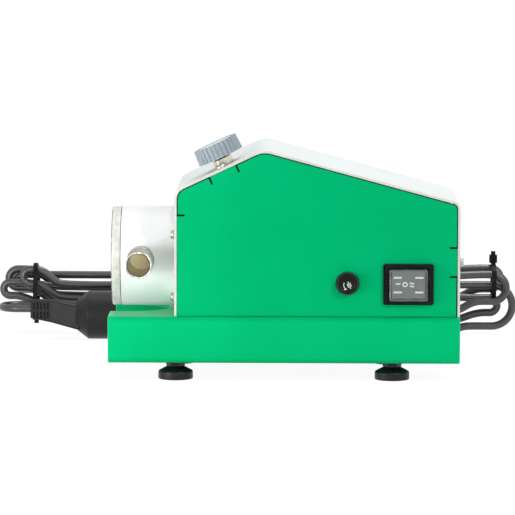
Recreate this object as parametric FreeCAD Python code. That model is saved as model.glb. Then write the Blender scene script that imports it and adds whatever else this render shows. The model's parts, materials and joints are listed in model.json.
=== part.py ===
import FreeCAD, Part
import math
import os

Vector = FreeCAD.Vector
ALONG_X = Vector(1, 0, 0)
ALONG_Y = Vector(0, 1, 0)
ALONG_Z = Vector(0, 0, 1)

# Bench-top wet grinder: a folded green base on levelling feet carries a motor housing of two green
# end panels and a white wrap-around cover. A white wet chamber with a clear cover hangs off the left
# side, and rods are fed to its wheel through a threaded guide tube. All lengths are millimetres.
# X runs to the right, Y away from the operator and Z up from the table.

# Base channel, folded from sheet
base_length = 215.5
base_ledge = 4.0
base_clearance = 11.4
base_height = 28.6
base_sheet = 2.0
base_bend = 4.0
base_lip = 28.0
slot_width = 52.0
slot_margin = 4.0

# Levelling feet
foot_end_inset = 41.1
foot_inset = 17.5
foot_radius = 10.7
foot_pad_height = 5.0
foot_cone_height = 3.0
foot_neck_flats = 12.0
foot_neck_gap = 0.2
foot_stud_radius = 3.0
foot_stud_length = 20.0
foot_nut_flats = 10.0
foot_nut_height = 5.0
foot_hole_clearance = 0.35

# Motor housing: two panels under a wrap-around cover
cover_overhang = -0.1
cover_sheet = 1.5
panel_sheet = 1.5
panel_gap = 0.4
body_depth = 108.0
apex_run = 54.4
apex_height = 100.6
left_slope = 25.0
right_slope = 15.1
left_bend = 7.0
apex_bend = 13.0
right_bend = 3.0
tab_depth = 7.5
tab_bend = 1.4
foot_tab_depth = 12.0
foot_tab_margin = 6.0
slit_length = 4.2
slit_width = 0.6
left_tab_height = 61.7
slope_tab_start = 18.7
slope_tab_width = 17.5
right_tab_bottom = 25.1
right_tab_height = 17.2

# Small pan-head screws that hold the cover and the panels
screw_radius = 1.5
screw_length = 6.0
screw_head_radius = 2.9
screw_head_height = 2.3
screw_hole_clearance = 0.1
left_screw_heights = (11.6, 50.0)
base_screw_count = 3

# Wet chamber
chamber_setback = 0.7
chamber_wall = 8.5
chamber_lift = 1.2
chamber_back_wall = 6.05
clear_cover_thickness = 6.0
clear_cover_inset = 0.2
seal_margin = 0.4
seal_width = 1.8
chamber_screw_edge = 3.4
chamber_screw_offset = 11.6
chamber_screw_radius = 1.5
chamber_screw_head_radius = 2.75
chamber_screw_head_height = 3.0
chamber_screw_sink = 0.2

# Guide tube with a fine pipe thread
tube_radius = 8.33
tube_bore_radius = 6.8
tube_reach = 32.0
thread_pitch = 1.337
thread_depth = 0.55
thread_runout = 2.0

# Grinding wheel and spindle
shaft_radius = 4.0
nose_radius = 3.0
fit_clearance = 0.05
wheel_radius = 19.5
wheel_clearance = 3.0
wheel_bevel = 2.5
wheel_width = 12.0
hub_radius = 9.0
hub_flange_radius = 14.0
hub_flange = 2.0
hub_setback = 7.5
wheel_washer = 1.0
wheel_washer_radius = 13.0
wheel_nut_flats = 10.0
wheel_nut_height = 3.5
nose_proud = 0.8
nose_end_gap = 1.0
seal_radius = 8.0
seal_length = 5.0
shaft_hole_radius = 5.0

# Motor
plate_thickness = 4.0
plate_margin = 2.4
plate_wing = 6.4
motor_radius = 28.0
motor_wall = 2.0
cap_length = 7.0
bearing_radius = 11.0
rotor_air_gap = 1.0
control_bay = 86.4
rotor_setback = 8.7
magnet_thickness = 7.0
magnet_arc = 130.0
commutator_radius = 9.0
commutator_length = 8.0
commutator_gap = 1.0
commutator_end_gap = 0.3
brush_gap = 0.3
brush_size = 5.0
brush_length = 8.0
brush_plate = 2.0
shaft_tail = 1.2
motor_screw_circle = 20.0
motor_screw_radius = 2.0
motor_screw_length = 9.7

# Speed knob on its potentiometer
knob_run = 23.9
pot_margin = 2.0
knob_radius = 14.5
knob_top_radius = 13.9
knob_thickness = 9.3
knob_top_wall = 1.5
knob_gap = 1.0
knob_flutes = 24
flute_radius = 1.0
pot_radius = 11.5
pot_length = 10.0
bush_radius = 4.5
bush_proud = 0.4
bush_hole_clearance = 0.2
pot_shaft_radius = 3.0
pot_nut_flats = 11.0
pot_nut_height = 4.6

# Rocker switch under a clear splash cap
switch_from_right = 31.6
switch_height = 20.2
bezel_width = 31.0
bezel_height = 25.2
bezel_thickness = 2.2
bezel_corner = 1.5
switch_width = 27.6
switch_body_height = 22.0
switch_depth = 24.0
cutout_clearance = 0.2
splash_width = 23.8
splash_height = 19.6
splash_wall = 0.7
splash_seat = 1.0
splash_clearance = 0.1
rocker_side_gap = 1.0
rocker_end_gap = 0.7
rocker_throw_room = 2.3
rocker_back_room = 3.6
rocker_proud = 1.4
rocker_dish = 0.8
rocker_depth = 8.0
pivot_depth = 3.2
pivot_radius = 1.5
pivot_seat = 0.7
terminal_width = 4.8
terminal_thickness = 0.8
terminal_length = 8.0
terminal_pitch = 8.0
terminal_row = 5.0

# Panel fuse holder
fuse_from_switch = 37.2
fuse_height = 20.7
fuse_flange_radius = 7.0
fuse_flange = 1.8
fuse_barrel_radius = 6.2
fuse_spring_room = 6.0
fuse_nut_flats = 15.0
fuse_nut_height = 3.0
fuse_bore_radius = 4.6
fuse_mouth_radius = 5.7
fuse_mouth_depth = 5.8
fuse_end_wall = 2.0
fuse_cap_radius = 6.1
fuse_cap_height = 3.8
fuse_cap_gap = 0.1
fuse_skirt_radius = 5.3
fuse_skirt_length = 3.7
fuse_carrier_radius = 3.9
fuse_carrier_bore = 2.7
fuse_carrier_length = 28.0
fuse_carrier_gap = 0.2
fuse_cartridge_radius = 2.6
fuse_cartridge_length = 20.0

# Speed control board on standoffs
board_length = 62.0
board_depth = 44.0
board_thickness = 1.6
board_from_right = 12.0
board_rear_gap = 1.0
standoff_height = 7.0
standoff_radius = 2.75
standoff_inset = 4.0
capacitor_radius = 8.0
capacitor_height = 22.0
heat_sink_length = 30.0
heat_sink_thickness = 3.0
heat_sink_height = 26.0
relay_length = 18.0
relay_depth = 15.0
relay_height = 15.0

# Cable gland with a tapered sleeve on the rear panel
gland_from_right = 45.9
gland_height = 18.0
gland_thread_radius = 8.0
gland_thread_length = 6.0
gland_flats = 20.0
gland_hex = 4.0
gland_sleeve_length = 22.0
gland_sleeve_root = 8.0
gland_sleeve_tip = 4.6
gland_nut_height = 3.0

# Mains cord, lying on the table behind the machine
cord_radius = 2.6
lead_straight = 18.0
hank_pitch = 5.8
hank_front = 186.9
hank_start = 0.0
hank_lead_in = 22.0
left_gather_x = -150.0
left_tie_x = -168.0
right_tie_x = 140.5
top_run_heights = (38.0, 31.0, 31.0, 33.0, 27.0)
low_run_heights = (24.0, 18.0, 13.0, 24.0)
left_turn_x = (-178.0, -180.5, -185.5, -171.5)
left_turn_heights = (33.0, 36.0, 29.5, 38.4)
left_turn_radii = (5.0, 6.4, 4.6, 5.0)
right_turn_x = (138.5, 139.5, 139.0, 139.5)
right_turn_heights = (36.5, 13.5, 15.5, 32.0)
right_turn_radii = (7.0, 6.0, 13.0, 9.0)
right_straight = 10.0
last_turn_lead = 8.5
tie_band = 1.2
tie_width = 3.0
tie_slack = 0.8
tie_head = 5.2
tie_tail = 2.5

# Moulded mains plug
plug_y = 164.5
plug_cord_height = 20.0
plug_relief_start = -169.5
plug_relief_length = 14.3
plug_relief_width = 11.0
plug_relief_height = 12.0
plug_corner = 1.5
plug_grip_drop = 1.5
plug_grip_start_height = 15.0
plug_grip_length = 18.2
plug_grip_width = 18.0
plug_grip_height = 16.0
plug_neck_drop = 5.6
plug_cone_lap = 2.0
plug_cone_radius = 9.8
plug_cone_length = 8.0
plug_head_radius = 16.0
plug_head_length = 22.0
relief_slots = 5
relief_slot_pitch = 2.3
relief_slot_width = 1.2
relief_slot_depth = 1.6
relief_slot_height = 4.4
relief_slot_rise = 3.0
pin_radius = 2.4
pin_length = 19.0
pin_spacing = 19.0

# Places worked out from the driving dimensions
wheel_stack = hub_flange + wheel_width + wheel_washer + wheel_nut_height
cavity_length = hub_setback + wheel_stack + nose_proud + nose_end_gap
head_length = chamber_setback + clear_cover_thickness + cavity_length + chamber_back_wall
cavity_radius = wheel_radius + wheel_clearance
chamber_radius = cavity_radius + chamber_wall
base_left = -base_length / 2
base_right = base_length / 2
base_depth = body_depth + 2 * base_ledge
base_front = -base_depth / 2
base_top = base_clearance + base_height
cover_left = base_left + head_length
cover_right = base_right + cover_overhang
cover_grow = panel_gap + cover_sheet
panel_left = cover_left + cover_grow
panel_right = cover_right - cover_grow
panel_front = -body_depth / 2
panel_back = panel_front + panel_sheet
apex_x = cover_left + apex_run
apex_z = base_top + apex_height
tan_left = math.tan(math.radians(left_slope))
tan_right = math.tan(math.radians(right_slope))
cos_left = math.cos(math.radians(left_slope))
sin_left = math.sin(math.radians(left_slope))
cos_right = math.cos(math.radians(right_slope))
spindle_z = base_top + chamber_lift + chamber_radius
clear_left = base_left + chamber_setback
chamber_left = clear_left + clear_cover_thickness
cavity_back = cover_left - chamber_back_wall
plate_left = cover_left + cover_sheet
motor_left = plate_left + plate_thickness
can_left = motor_left + cap_length
shaft_right = cover_right - control_bay
motor_right = shaft_right - shaft_tail
can_right = motor_right - cap_length
can_length = can_right - can_left
brush_end = commutator_gap + commutator_length + commutator_end_gap + brush_plate
rotor_length = can_length - rotor_setback - brush_end
hub_right = cavity_back - hub_setback
wheel_right = hub_right - hub_flange
wheel_left = wheel_right - wheel_width
tube_x = (wheel_left + wheel_right) / 2
tube_mouth = -chamber_radius - tube_reach
switch_x = cover_right - switch_from_right
switch_z = base_top + switch_height
fuse_x = switch_x - fuse_from_switch
fuse_z = base_top + fuse_height
gland_x = cover_right - gland_from_right
gland_z = base_top + gland_height
bezel_front = panel_front - bezel_thickness
splash_proud = rocker_proud + rocker_throw_room + splash_wall
splash_front = bezel_front - splash_proud
fuse_front = panel_front - fuse_flange
cap_back = fuse_front - fuse_cap_gap
cap_front = cap_back - fuse_cap_height

# The frame's origin lies on the table, under the middle of the machine's own box
left_reach = base_left
right_reach = cover_right + screw_head_height
front_reach = min(tube_mouth, splash_front, cap_front)
rear_reach = base_depth / 2
centring = Vector(-(left_reach + right_reach) / 2, -(front_reach + rear_reach) / 2, 0)

pieces = {}


def keep(name, shape):
    pieces[name] = shape


def box(x, y, z):
    size = (x[1] - x[0], y[1] - y[0], z[1] - z[0])
    return Part.makeBox(*size, Vector(x[0], y[0], z[0]))


def rod(start, direction, radius, length):
    return Part.makeCylinder(radius, length, start, direction)


def ring(start, direction, outer, inner, length):
    return rod(start, direction, outer, length).cut(rod(start, direction, inner, length))


def across(direction):
    side = direction.cross(ALONG_Y)
    if side.Length < 0.5:
        side = Vector(ALONG_X)
    side.normalize()
    return side, direction.cross(side)


def hexagon(start, direction, flats, length):
    side, up = across(direction)
    corner = flats / 2 / math.cos(math.pi / 6)
    points = []
    for step in range(7):
        angle = math.pi / 3 * step
        points.append(start + side * (corner * math.cos(angle)) + up * (corner * math.sin(angle)))
    return Part.Face(Part.makePolygon(points)).extrude(direction * length)


def front_view(u, v):
    return Vector(u, 0, v)


def end_view(u, v):
    return Vector(0, u, v)


def rounded_face(corners, place):
    """A flat face from (u, v, radius) corners, each rounded by its radius."""
    spots = [place(u, v) for u, v, _ in corners]
    starts = []
    ends = []
    arcs = []
    for index, (_, _, radius) in enumerate(corners):
        spot = spots[index]
        back = (spots[index - 1] - spot).normalize()
        ahead = (spots[(index + 1) % len(spots)] - spot).normalize()
        if radius == 0:
            starts.append(spot)
            ends.append(spot)
            arcs.append(None)
            continue
        half = back.getAngle(ahead) / 2
        inward = (back + ahead).normalize()
        start = spot + back * (radius / math.tan(half))
        end = spot + ahead * (radius / math.tan(half))
        middle = spot + inward * (radius / math.sin(half) - radius)
        starts.append(start)
        ends.append(end)
        arcs.append(Part.Arc(start, middle, end).toShape())
    edges = []
    for index, arc in enumerate(arcs):
        if arc:
            edges.append(arc)
        edges.append(Part.makeLine(ends[index], starts[(index + 1) % len(spots)]))
    return Part.Face(Part.Wire(edges))


def slope_height(x, grow):
    return apex_z + (grow + (x - apex_x) * sin_left) / cos_left


def body_prism(grow, floor, start, depth):
    """The housing's outline in front view, grown outwards, as a prism along Y."""
    left = panel_left - grow
    right = panel_right + grow
    shift = grow * (1 / cos_right - 1 / cos_left) / (tan_left + tan_right)
    right_height = apex_z + grow / cos_right - (right - apex_x) * tan_right
    corners = [
        (left, floor, 0),
        (left, slope_height(left, grow), left_bend + grow),
        (apex_x + shift, slope_height(apex_x + shift, grow), apex_bend + grow),
        (right, right_height, right_bend + grow),
        (right, floor, 0),
    ]
    face = rounded_face(corners, front_view)
    return face.translated(Vector(0, start, 0)).extrude(Vector(0, depth, 0))


def on_slope(run, grow):
    """A point on the left slope, by its run down from the apex line and its outward growth."""
    x = apex_x - run * cos_left - grow * sin_left
    z = apex_z - run * sin_left + grow * cos_left
    return Vector(x, 0, z)


def slope_slab(runs, grows, depths):
    """A slab lying along the left slope, between two runs, two growths and two depths."""
    path = [on_slope(runs[0], grows[0]), on_slope(runs[1], grows[0])]
    path += [on_slope(runs[1], grows[1]), on_slope(runs[0], grows[1])]
    face = Part.Face(Part.makePolygon(path + path[:1]))
    return face.translated(Vector(0, depths[0], 0)).extrude(Vector(0, depths[1] - depths[0], 0))


def mirrored(shape):
    return shape.mirror(Vector(0, 0, 0), ALONG_Y)


# Base frame: top plate, two walls and two inward lips, open at both ends
wall_corners = [(base_front, base_clearance, base_bend), (base_front, base_top, base_bend)]
wall_corners += [(-base_front, base_top, base_bend), (-base_front, base_clearance, base_bend)]
inner_front = base_front + base_sheet
inner_floor = base_clearance + base_sheet
inner_top = base_top - base_sheet
inner_bend = base_bend - base_sheet
hollow_corners = [(inner_front, inner_floor, inner_bend), (inner_front, inner_top, inner_bend)]
hollow_corners += [(-inner_front, inner_top, inner_bend), (-inner_front, inner_floor, inner_bend)]
lip_edge = base_front + base_lip
base_start = Vector(base_left, 0, 0)
base_run = Vector(base_length, 0, 0)
base = rounded_face(wall_corners, end_view).translated(base_start).extrude(base_run)
base = base.cut(rounded_face(hollow_corners, end_view).translated(base_start).extrude(base_run))
base = base.cut(box((base_left, base_right), (lip_edge, -lip_edge), (base_clearance, inner_floor)))
slot_end = cover_left - slot_margin
slot_centre = slot_end - slot_width / 2
base = base.cut(box((base_left, slot_centre), (-slot_width / 2, slot_width / 2), (inner_top, base_top)))
base = base.cut(rod(Vector(slot_centre, 0, inner_top), ALONG_Z, slot_width / 2, base_sheet))

# Levelling feet in weld nuts on the lips
foot_y = -base_front - foot_inset
foot_nuts = []
for side_name, side in (("left", -1), ("right", 1)):
    for end_name, end in (("front", -1), ("rear", 1)):
        foot_x = side * (base_right - foot_end_inset)
        ground = Vector(foot_x, end * foot_y, 0)
        hole = ground + ALONG_Z * base_clearance
        base = base.cut(rod(hole, ALONG_Z, foot_stud_radius + foot_hole_clearance, base_sheet))
        pad = rod(ground, ALONG_Z, foot_radius, foot_pad_height)
        cone_base = ground + ALONG_Z * foot_pad_height
        neck_base = cone_base + ALONG_Z * foot_cone_height
        neck_height = base_clearance - foot_neck_gap - foot_pad_height - foot_cone_height
        cone = Part.makeCone(foot_radius, foot_neck_flats / 2, foot_cone_height, cone_base, ALONG_Z)
        neck = hexagon(neck_base, ALONG_Z, foot_neck_flats, neck_height)
        stud = rod(neck_base, ALONG_Z, foot_stud_radius, foot_stud_length)
        keep(f"foot_{end_name}_{side_name}", pad.fuse([cone, neck, stud]).removeSplitter())
        nut = hexagon(hole + ALONG_Z * base_sheet, ALONG_Z, foot_nut_flats, foot_nut_height)
        thread = rod(hole, ALONG_Z, foot_stud_radius + fit_clearance, foot_nut_height + base_sheet)
        foot_nuts.append(nut.cut(thread))
keep("foot_nuts", Part.makeCompound(foot_nuts))


def bent(block, edge_spot):
    """A tab's block with the bend of the sheet along its outer front edge."""
    fold = min(block.Edges, key=lambda edge: edge.CenterOfMass.distanceToPoint(edge_spot))
    return block.makeFillet(tab_bend, [fold])


# Bare end panel: plate, screw tabs bent back on three sides, a foot tab and relief slits beside the tabs
tab_reach = panel_front + tab_depth
tab_left = cover_left + cover_sheet
tab_right = cover_right - cover_sheet
left_tab_top = base_top + left_tab_height
right_tab_floor = base_top + right_tab_bottom
right_tab_top = right_tab_floor + right_tab_height
slope_tab_end = slope_tab_start + slope_tab_width
panel = body_prism(0, base_top, panel_front, panel_sheet)
slit_depths = (panel_front, panel_back)
tab_depths = (panel_front, tab_reach)
left_slit = (panel_left, panel_left + slit_length)
right_slit = (panel_right - slit_length, panel_right)
panel = panel.cut(box(left_slit, slit_depths, (left_tab_top, left_tab_top + slit_width)))
panel = panel.cut(box(right_slit, slit_depths, (right_tab_top, right_tab_top + slit_width)))
panel = panel.cut(box(right_slit, slit_depths, (right_tab_floor - slit_width, right_tab_floor)))
for slit_run in (slope_tab_start - slit_width, slope_tab_end):
    slit_runs = (slit_run, slit_run + slit_width)
    panel = panel.cut(slope_slab(slit_runs, (-slit_length, panel_gap), slit_depths))
slope_tab_runs = (slope_tab_start, slope_tab_end)
foot_tab_x = (panel_left + foot_tab_margin, panel_right - foot_tab_margin)
foot_tab_y = (panel_front, panel_front + foot_tab_depth)
left_tab = box((tab_left, tab_left + panel_sheet), tab_depths, (base_top, left_tab_top))
right_tab = box((tab_right - panel_sheet, tab_right), tab_depths, (right_tab_floor, right_tab_top))
slope_tab = slope_slab(slope_tab_runs, (panel_gap - panel_sheet, panel_gap), tab_depths)
foot_tab = box(foot_tab_x, foot_tab_y, (base_top, base_top + panel_sheet))
panel = panel.cut([left_tab, right_tab, slope_tab])
left_fold = Vector(tab_left, panel_front, (base_top + left_tab_top) / 2)
right_fold = Vector(tab_right, panel_front, (right_tab_floor + right_tab_top) / 2)
slope_fold = on_slope((slope_tab_start + slope_tab_end) / 2, panel_gap) + ALONG_Y * panel_front
tabs = [bent(left_tab, left_fold), bent(right_tab, right_fold), bent(slope_tab, slope_fold), foot_tab]
panel = panel.fuse(tabs).removeSplitter()

# Cover screws go in from the sides and the slope, base screws come up through the top plate
screw_y = (panel_back + tab_reach) / 2
slope_down = Vector(sin_left, 0, -cos_left)
slope_screw = on_slope((slope_tab_start + slope_tab_end) / 2, cover_grow)
screw_seats = []
for height in left_screw_heights:
    screw_seats.append((Vector(cover_left, screw_y, base_top + height), Vector(ALONG_X)))
right_screw_z = (right_tab_floor + right_tab_top) / 2
screw_seats.append((Vector(cover_right, screw_y, right_screw_z), ALONG_X * -1))
screw_seats.append((slope_screw + ALONG_Y * screw_y, slope_down))
base_screw_span = foot_tab_x[1] - foot_tab_x[0] - 2 * foot_tab_margin
base_screw_y = (panel_back + foot_tab_y[1]) / 2
base_seats = []
for index in range(base_screw_count):
    seat_x = foot_tab_x[0] + foot_tab_margin + base_screw_span * index / (base_screw_count - 1)
    base_seats.append((Vector(seat_x, base_screw_y, inner_top), Vector(ALONG_Z)))
screw_hole_radius = screw_radius + screw_hole_clearance


def pan_screw(seat, inward):
    head = rod(seat - inward * screw_head_height, inward, screw_head_radius, screw_head_height)
    return head.fuse(rod(seat, inward, screw_radius, screw_length)).removeSplitter()


cover = body_prism(cover_grow, base_top, panel_front, body_depth)
cover = cover.cut(body_prism(panel_gap, base_top - cover_sheet, panel_front, body_depth))
cover_screws = []
for seat, inward in screw_seats:
    hole = rod(seat, inward, screw_hole_radius, screw_length)
    panel = panel.cut(hole)
    cover = cover.cut([hole, mirrored(hole)])
    screw = pan_screw(seat, inward)
    cover_screws += [screw, mirrored(screw)]
keep("cover_screws", Part.makeCompound(cover_screws))
base_screws = []
for seat, inward in base_seats:
    hole = rod(seat, inward, screw_hole_radius, screw_length)
    panel = panel.cut(hole)
    base = base.cut([hole, mirrored(hole)])
    screw = pan_screw(seat, inward)
    base_screws += [screw, mirrored(screw)]
keep("base_screws", Part.makeCompound(base_screws))
rear_panel = mirrored(panel)
keep("base_frame", base)

# Wet chamber: a turned block open to the left, with a pocket for the shaft seal in its back wall
spindle = Vector(0, 0, spindle_z)
chamber_start = spindle + ALONG_X * chamber_left
chamber_length = cover_left - chamber_left
chamber = rod(chamber_start, ALONG_X, chamber_radius, chamber_length)
chamber = chamber.cut(rod(chamber_start, ALONG_X, cavity_radius, cavity_length))
seal_seat = spindle + ALONG_X * cavity_back
chamber = chamber.cut(rod(seal_seat, ALONG_X, seal_radius, seal_length))
chamber = chamber.cut(rod(seal_seat, ALONG_X, shaft_hole_radius, chamber_back_wall))
seal_inner = cavity_radius + seal_margin
seal_outer = seal_inner + seal_width
chamber = chamber.cut(ring(chamber_start, ALONG_X, seal_outer, seal_inner, seal_width))
tube_start = Vector(tube_x, tube_mouth, spindle_z)
tube_length = -math.sqrt(cavity_radius**2 - tube_radius**2) - tube_mouth
chamber = chamber.cut(rod(tube_start, ALONG_Y, tube_radius + fit_clearance, -tube_mouth))
clear_start = spindle + ALONG_X * clear_left
clear_cover = rod(clear_start, ALONG_X, chamber_radius - clear_cover_inset, clear_cover_thickness)

# Six long screws hold the clear cover and the chamber to the motor plate
chamber_screw_circle = chamber_radius - chamber_screw_edge
screw_side = math.sqrt(chamber_screw_circle**2 - chamber_screw_offset**2)
chamber_seats = [Vector(0, 0, chamber_screw_circle), Vector(0, 0, -chamber_screw_circle)]
for side in (-1, 1):
    for rise in (-1, 1):
        chamber_seats.append(Vector(0, side * screw_side, rise * chamber_screw_offset))
sink = chamber_screw_sink + chamber_screw_head_height
chamber_screw_length = motor_left - clear_left - sink
plate_face = spindle + ALONG_X * plate_left
plate_half = chamber_screw_circle + plate_margin
plate_y = (-chamber_screw_circle - plate_wing, chamber_screw_circle + plate_wing)
plate_z = (spindle_z - plate_half, spindle_z + plate_half)
motor_plate = box((plate_left, motor_left), plate_y, plate_z)
chamber_screws = []
for seat in chamber_seats:
    face = clear_start + seat
    shank = rod(face + ALONG_X * sink, ALONG_X, chamber_screw_radius, chamber_screw_length)
    head_start = face + ALONG_X * chamber_screw_sink
    head = rod(head_start, ALONG_X, chamber_screw_head_radius, chamber_screw_head_height)
    key = hexagon(head_start, ALONG_X, chamber_screw_head_radius, chamber_screw_head_height / 2)
    chamber_screws.append(head.fuse(shank).removeSplitter().cut(key))
    through = rod(face, ALONG_X, chamber_screw_radius + fit_clearance, motor_left - clear_left)
    counterbore = rod(face, ALONG_X, chamber_screw_head_radius + screw_hole_clearance, sink)
    clear_cover = clear_cover.cut([through, counterbore])
    chamber = chamber.cut(through)
    cover = cover.cut(through)
    motor_plate = motor_plate.cut(through)
keep("chamber_body", chamber)
keep("chamber_cover", clear_cover)
keep("chamber_screws", Part.makeCompound(chamber_screws))
groove_room = seal_width - 2 * fit_clearance
seal_ring = ring(chamber_start, ALONG_X, seal_outer - fit_clearance, seal_inner + fit_clearance, groove_room)
keep("cover_seal", seal_ring)

# Guide tube: turned with thread ridges over its free length and a plain end in the chamber wall
ridge_count = int((tube_reach - thread_runout) / thread_pitch)
root = tube_radius - thread_depth
profile = [Vector(0, 0, 0), Vector(root, 0, 0)]
for ridge in range(ridge_count):
    profile.append(Vector(tube_radius, thread_pitch * (ridge + 0.5), 0))
    profile.append(Vector(root, thread_pitch * (ridge + 1), 0))
profile.append(Vector(tube_radius, thread_pitch * (ridge_count + 0.5), 0))
profile.append(Vector(tube_radius, tube_length, 0))
profile.append(Vector(0, tube_length, 0))
blank = Part.Face(Part.makePolygon(profile + profile[:1])).revolve(Vector(0, 0, 0), ALONG_Y, 360)
guide_tube = blank.cut(rod(Vector(0, 0, 0), ALONG_Y, tube_bore_radius, tube_length))
keep("guide_tube", guide_tube.translated(tube_start))

# Shaft, wheel, hub and their clamp, which turn together
washer_left = wheel_left - wheel_washer
nut_left = washer_left - wheel_nut_height
nose_left = nut_left - nose_proud
shaft = rod(spindle + ALONG_X * hub_right, ALONG_X, shaft_radius, shaft_right - hub_right)
nose = rod(spindle + ALONG_X * nose_left, ALONG_X, nose_radius, hub_right - nose_left)
keep("motor_shaft", shaft.fuse(nose).removeSplitter())
nose_hole = rod(spindle + ALONG_X * nose_left, ALONG_X, nose_radius + fit_clearance, hub_right - nose_left)
hub = rod(spindle + ALONG_X * wheel_left, ALONG_X, hub_radius, hub_right - wheel_left)
hub_disc = rod(spindle + ALONG_X * wheel_right, ALONG_X, hub_flange_radius, hub_flange)
keep("wheel_hub", hub.fuse(hub_disc).removeSplitter().cut(nose_hole))
wheel_seat = spindle + ALONG_X * wheel_left
wheel = Part.makeCone(wheel_radius - wheel_bevel, wheel_radius, wheel_width, wheel_seat, ALONG_X)
keep("grinding_wheel", wheel.cut(rod(wheel_seat, ALONG_X, hub_radius + fit_clearance, wheel_width)))
washer = rod(spindle + ALONG_X * washer_left, ALONG_X, wheel_washer_radius, wheel_washer)
keep("wheel_washer", washer.cut(nose_hole))
wheel_nut = hexagon(spindle + ALONG_X * nut_left, ALONG_X, wheel_nut_flats, wheel_nut_height)
keep("wheel_nut", wheel_nut.cut(nose_hole))
bore_clearance = shaft_radius + fit_clearance
keep("shaft_seal", ring(seal_seat, ALONG_X, seal_radius - fit_clearance, bore_clearance, seal_length))

# Motor: mounting plate, end caps, can, bearings, magnets, brush gear and the wound rotor
shaft_hole = rod(spindle + ALONG_X * cover_left, ALONG_X, shaft_hole_radius, motor_left - cover_left)
cover = cover.cut(shaft_hole)
motor_plate = motor_plate.cut(shaft_hole)
front_cap_start = spindle + ALONG_X * motor_left
rear_cap_start = spindle + ALONG_X * can_right
can_start = spindle + ALONG_X * can_left
bearing_seat = bearing_radius + fit_clearance
front_cap = ring(front_cap_start, ALONG_X, motor_radius, bearing_seat, cap_length)
motor_screws = []
for quarter in range(4):
    angle = math.pi / 4 + math.pi / 2 * quarter
    offset = Vector(0, math.cos(angle), math.sin(angle)) * motor_screw_circle
    start = plate_face + offset
    countersink = 2 * motor_screw_radius
    head = Part.makeCone(countersink, motor_screw_radius, motor_screw_radius, start, ALONG_X)
    shank = rod(start, ALONG_X, motor_screw_radius, motor_screw_length)
    motor_screws.append(head.fuse(shank).removeSplitter())
    loose = fit_clearance
    sink_end = motor_screw_radius + loose
    sink_cut = Part.makeCone(countersink + loose, sink_end, motor_screw_radius, start, ALONG_X)
    bolt_hole = rod(start, ALONG_X, motor_screw_radius + loose, motor_screw_length)
    motor_plate = motor_plate.cut([sink_cut, bolt_hole])
    front_cap = front_cap.cut(bolt_hole)
keep("motor_plate", motor_plate)
keep("motor_screws", Part.makeCompound(motor_screws))
keep("motor_front_cap", front_cap)
keep("motor_rear_cap", ring(rear_cap_start, ALONG_X, motor_radius, bearing_seat, cap_length))
keep("motor_can", ring(can_start, ALONG_X, motor_radius, motor_radius - motor_wall, can_length))
keep("front_bearing", ring(front_cap_start, ALONG_X, bearing_radius, bore_clearance, cap_length))
keep("rear_bearing", ring(rear_cap_start, ALONG_X, bearing_radius, bore_clearance, cap_length))
rotor_start = can_start + ALONG_X * rotor_setback
magnet_outer = motor_radius - motor_wall - fit_clearance
magnet_inner = magnet_outer - magnet_thickness
rotor_radius = magnet_inner - rotor_air_gap
keep("rotor_core", ring(rotor_start, ALONG_X, rotor_radius, bore_clearance, rotor_length))
commutator_start = rotor_start + ALONG_X * (rotor_length + commutator_gap)
keep("commutator", ring(commutator_start, ALONG_X, commutator_radius, bore_clearance, commutator_length))
magnets = []
for turn in (90 - magnet_arc / 2, 270 - magnet_arc / 2):
    stock = Part.makeCylinder(magnet_outer, rotor_length, Vector(0, 0, 0), ALONG_Z, magnet_arc)
    core = rod(Vector(0, 0, 0), ALONG_Z, magnet_inner, rotor_length)
    segment = stock.cut(core)
    segment.rotate(Vector(0, 0, 0), ALONG_Z, turn)
    segment.rotate(Vector(0, 0, 0), ALONG_Y, 90)
    magnets.append(segment.translated(rotor_start))
keep("motor_magnets", Part.makeCompound(magnets))
brush_plate_x = can_right - brush_plate
brush_plate_start = spindle + ALONG_X * brush_plate_x
brush_reach = brush_plate_x - commutator_start.x
brush_hole = commutator_radius + commutator_gap
keep("brush_plate", ring(brush_plate_start, ALONG_X, magnet_outer, brush_hole, brush_plate))
brushes = []
for side in (-1, 1):
    near = commutator_radius + brush_gap
    depth = sorted((side * near, side * (near + brush_length)))
    rise = (spindle_z - brush_size / 2, spindle_z + brush_size / 2)
    brushes.append(box((brush_plate_x - brush_reach, brush_plate_x), depth, rise))
keep("motor_brushes", Part.makeCompound(brushes))

# Speed knob: its axis stands square on the left slope
knob_out = Vector(-sin_left, 0, cos_left)
knob_y = tab_reach + pot_margin + pot_radius
bush_height = pot_nut_height + bush_proud
knob_lift = pot_nut_height + knob_gap
pot_shaft_height = knob_lift + knob_thickness - knob_top_wall
knob_foot = on_slope(knob_run / cos_left - cover_grow * tan_left, cover_grow) + ALONG_Y * knob_y
pot_face = knob_foot - knob_out * cover_sheet
pot_hole = rod(pot_face, knob_out, bush_radius + bush_hole_clearance, cover_sheet)
cover = cover.cut(pot_hole)
keep("top_cover", cover)
pot_case = rod(pot_face - knob_out * pot_length, knob_out, pot_radius, pot_length)
pot_bush = rod(pot_face, knob_out, bush_radius, cover_sheet + bush_height)
pot_bore = rod(pot_face, knob_out, pot_shaft_radius + fit_clearance, cover_sheet + bush_height)
keep("speed_potentiometer", pot_case.fuse(pot_bush).removeSplitter().cut(pot_bore))
keep("knob_shaft", rod(pot_face, knob_out, pot_shaft_radius, cover_sheet + pot_shaft_height))
pot_nut = hexagon(knob_foot, knob_out, pot_nut_flats, pot_nut_height)
keep("potentiometer_nut", pot_nut.cut(rod(knob_foot, knob_out, bush_radius + fit_clearance, pot_nut_height)))
knob_base = knob_foot + knob_out * knob_lift
knob = Part.makeCone(knob_radius, knob_top_radius, knob_thickness, knob_base, knob_out)
knob_side, knob_up = across(knob_out)
flutes = []
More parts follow.
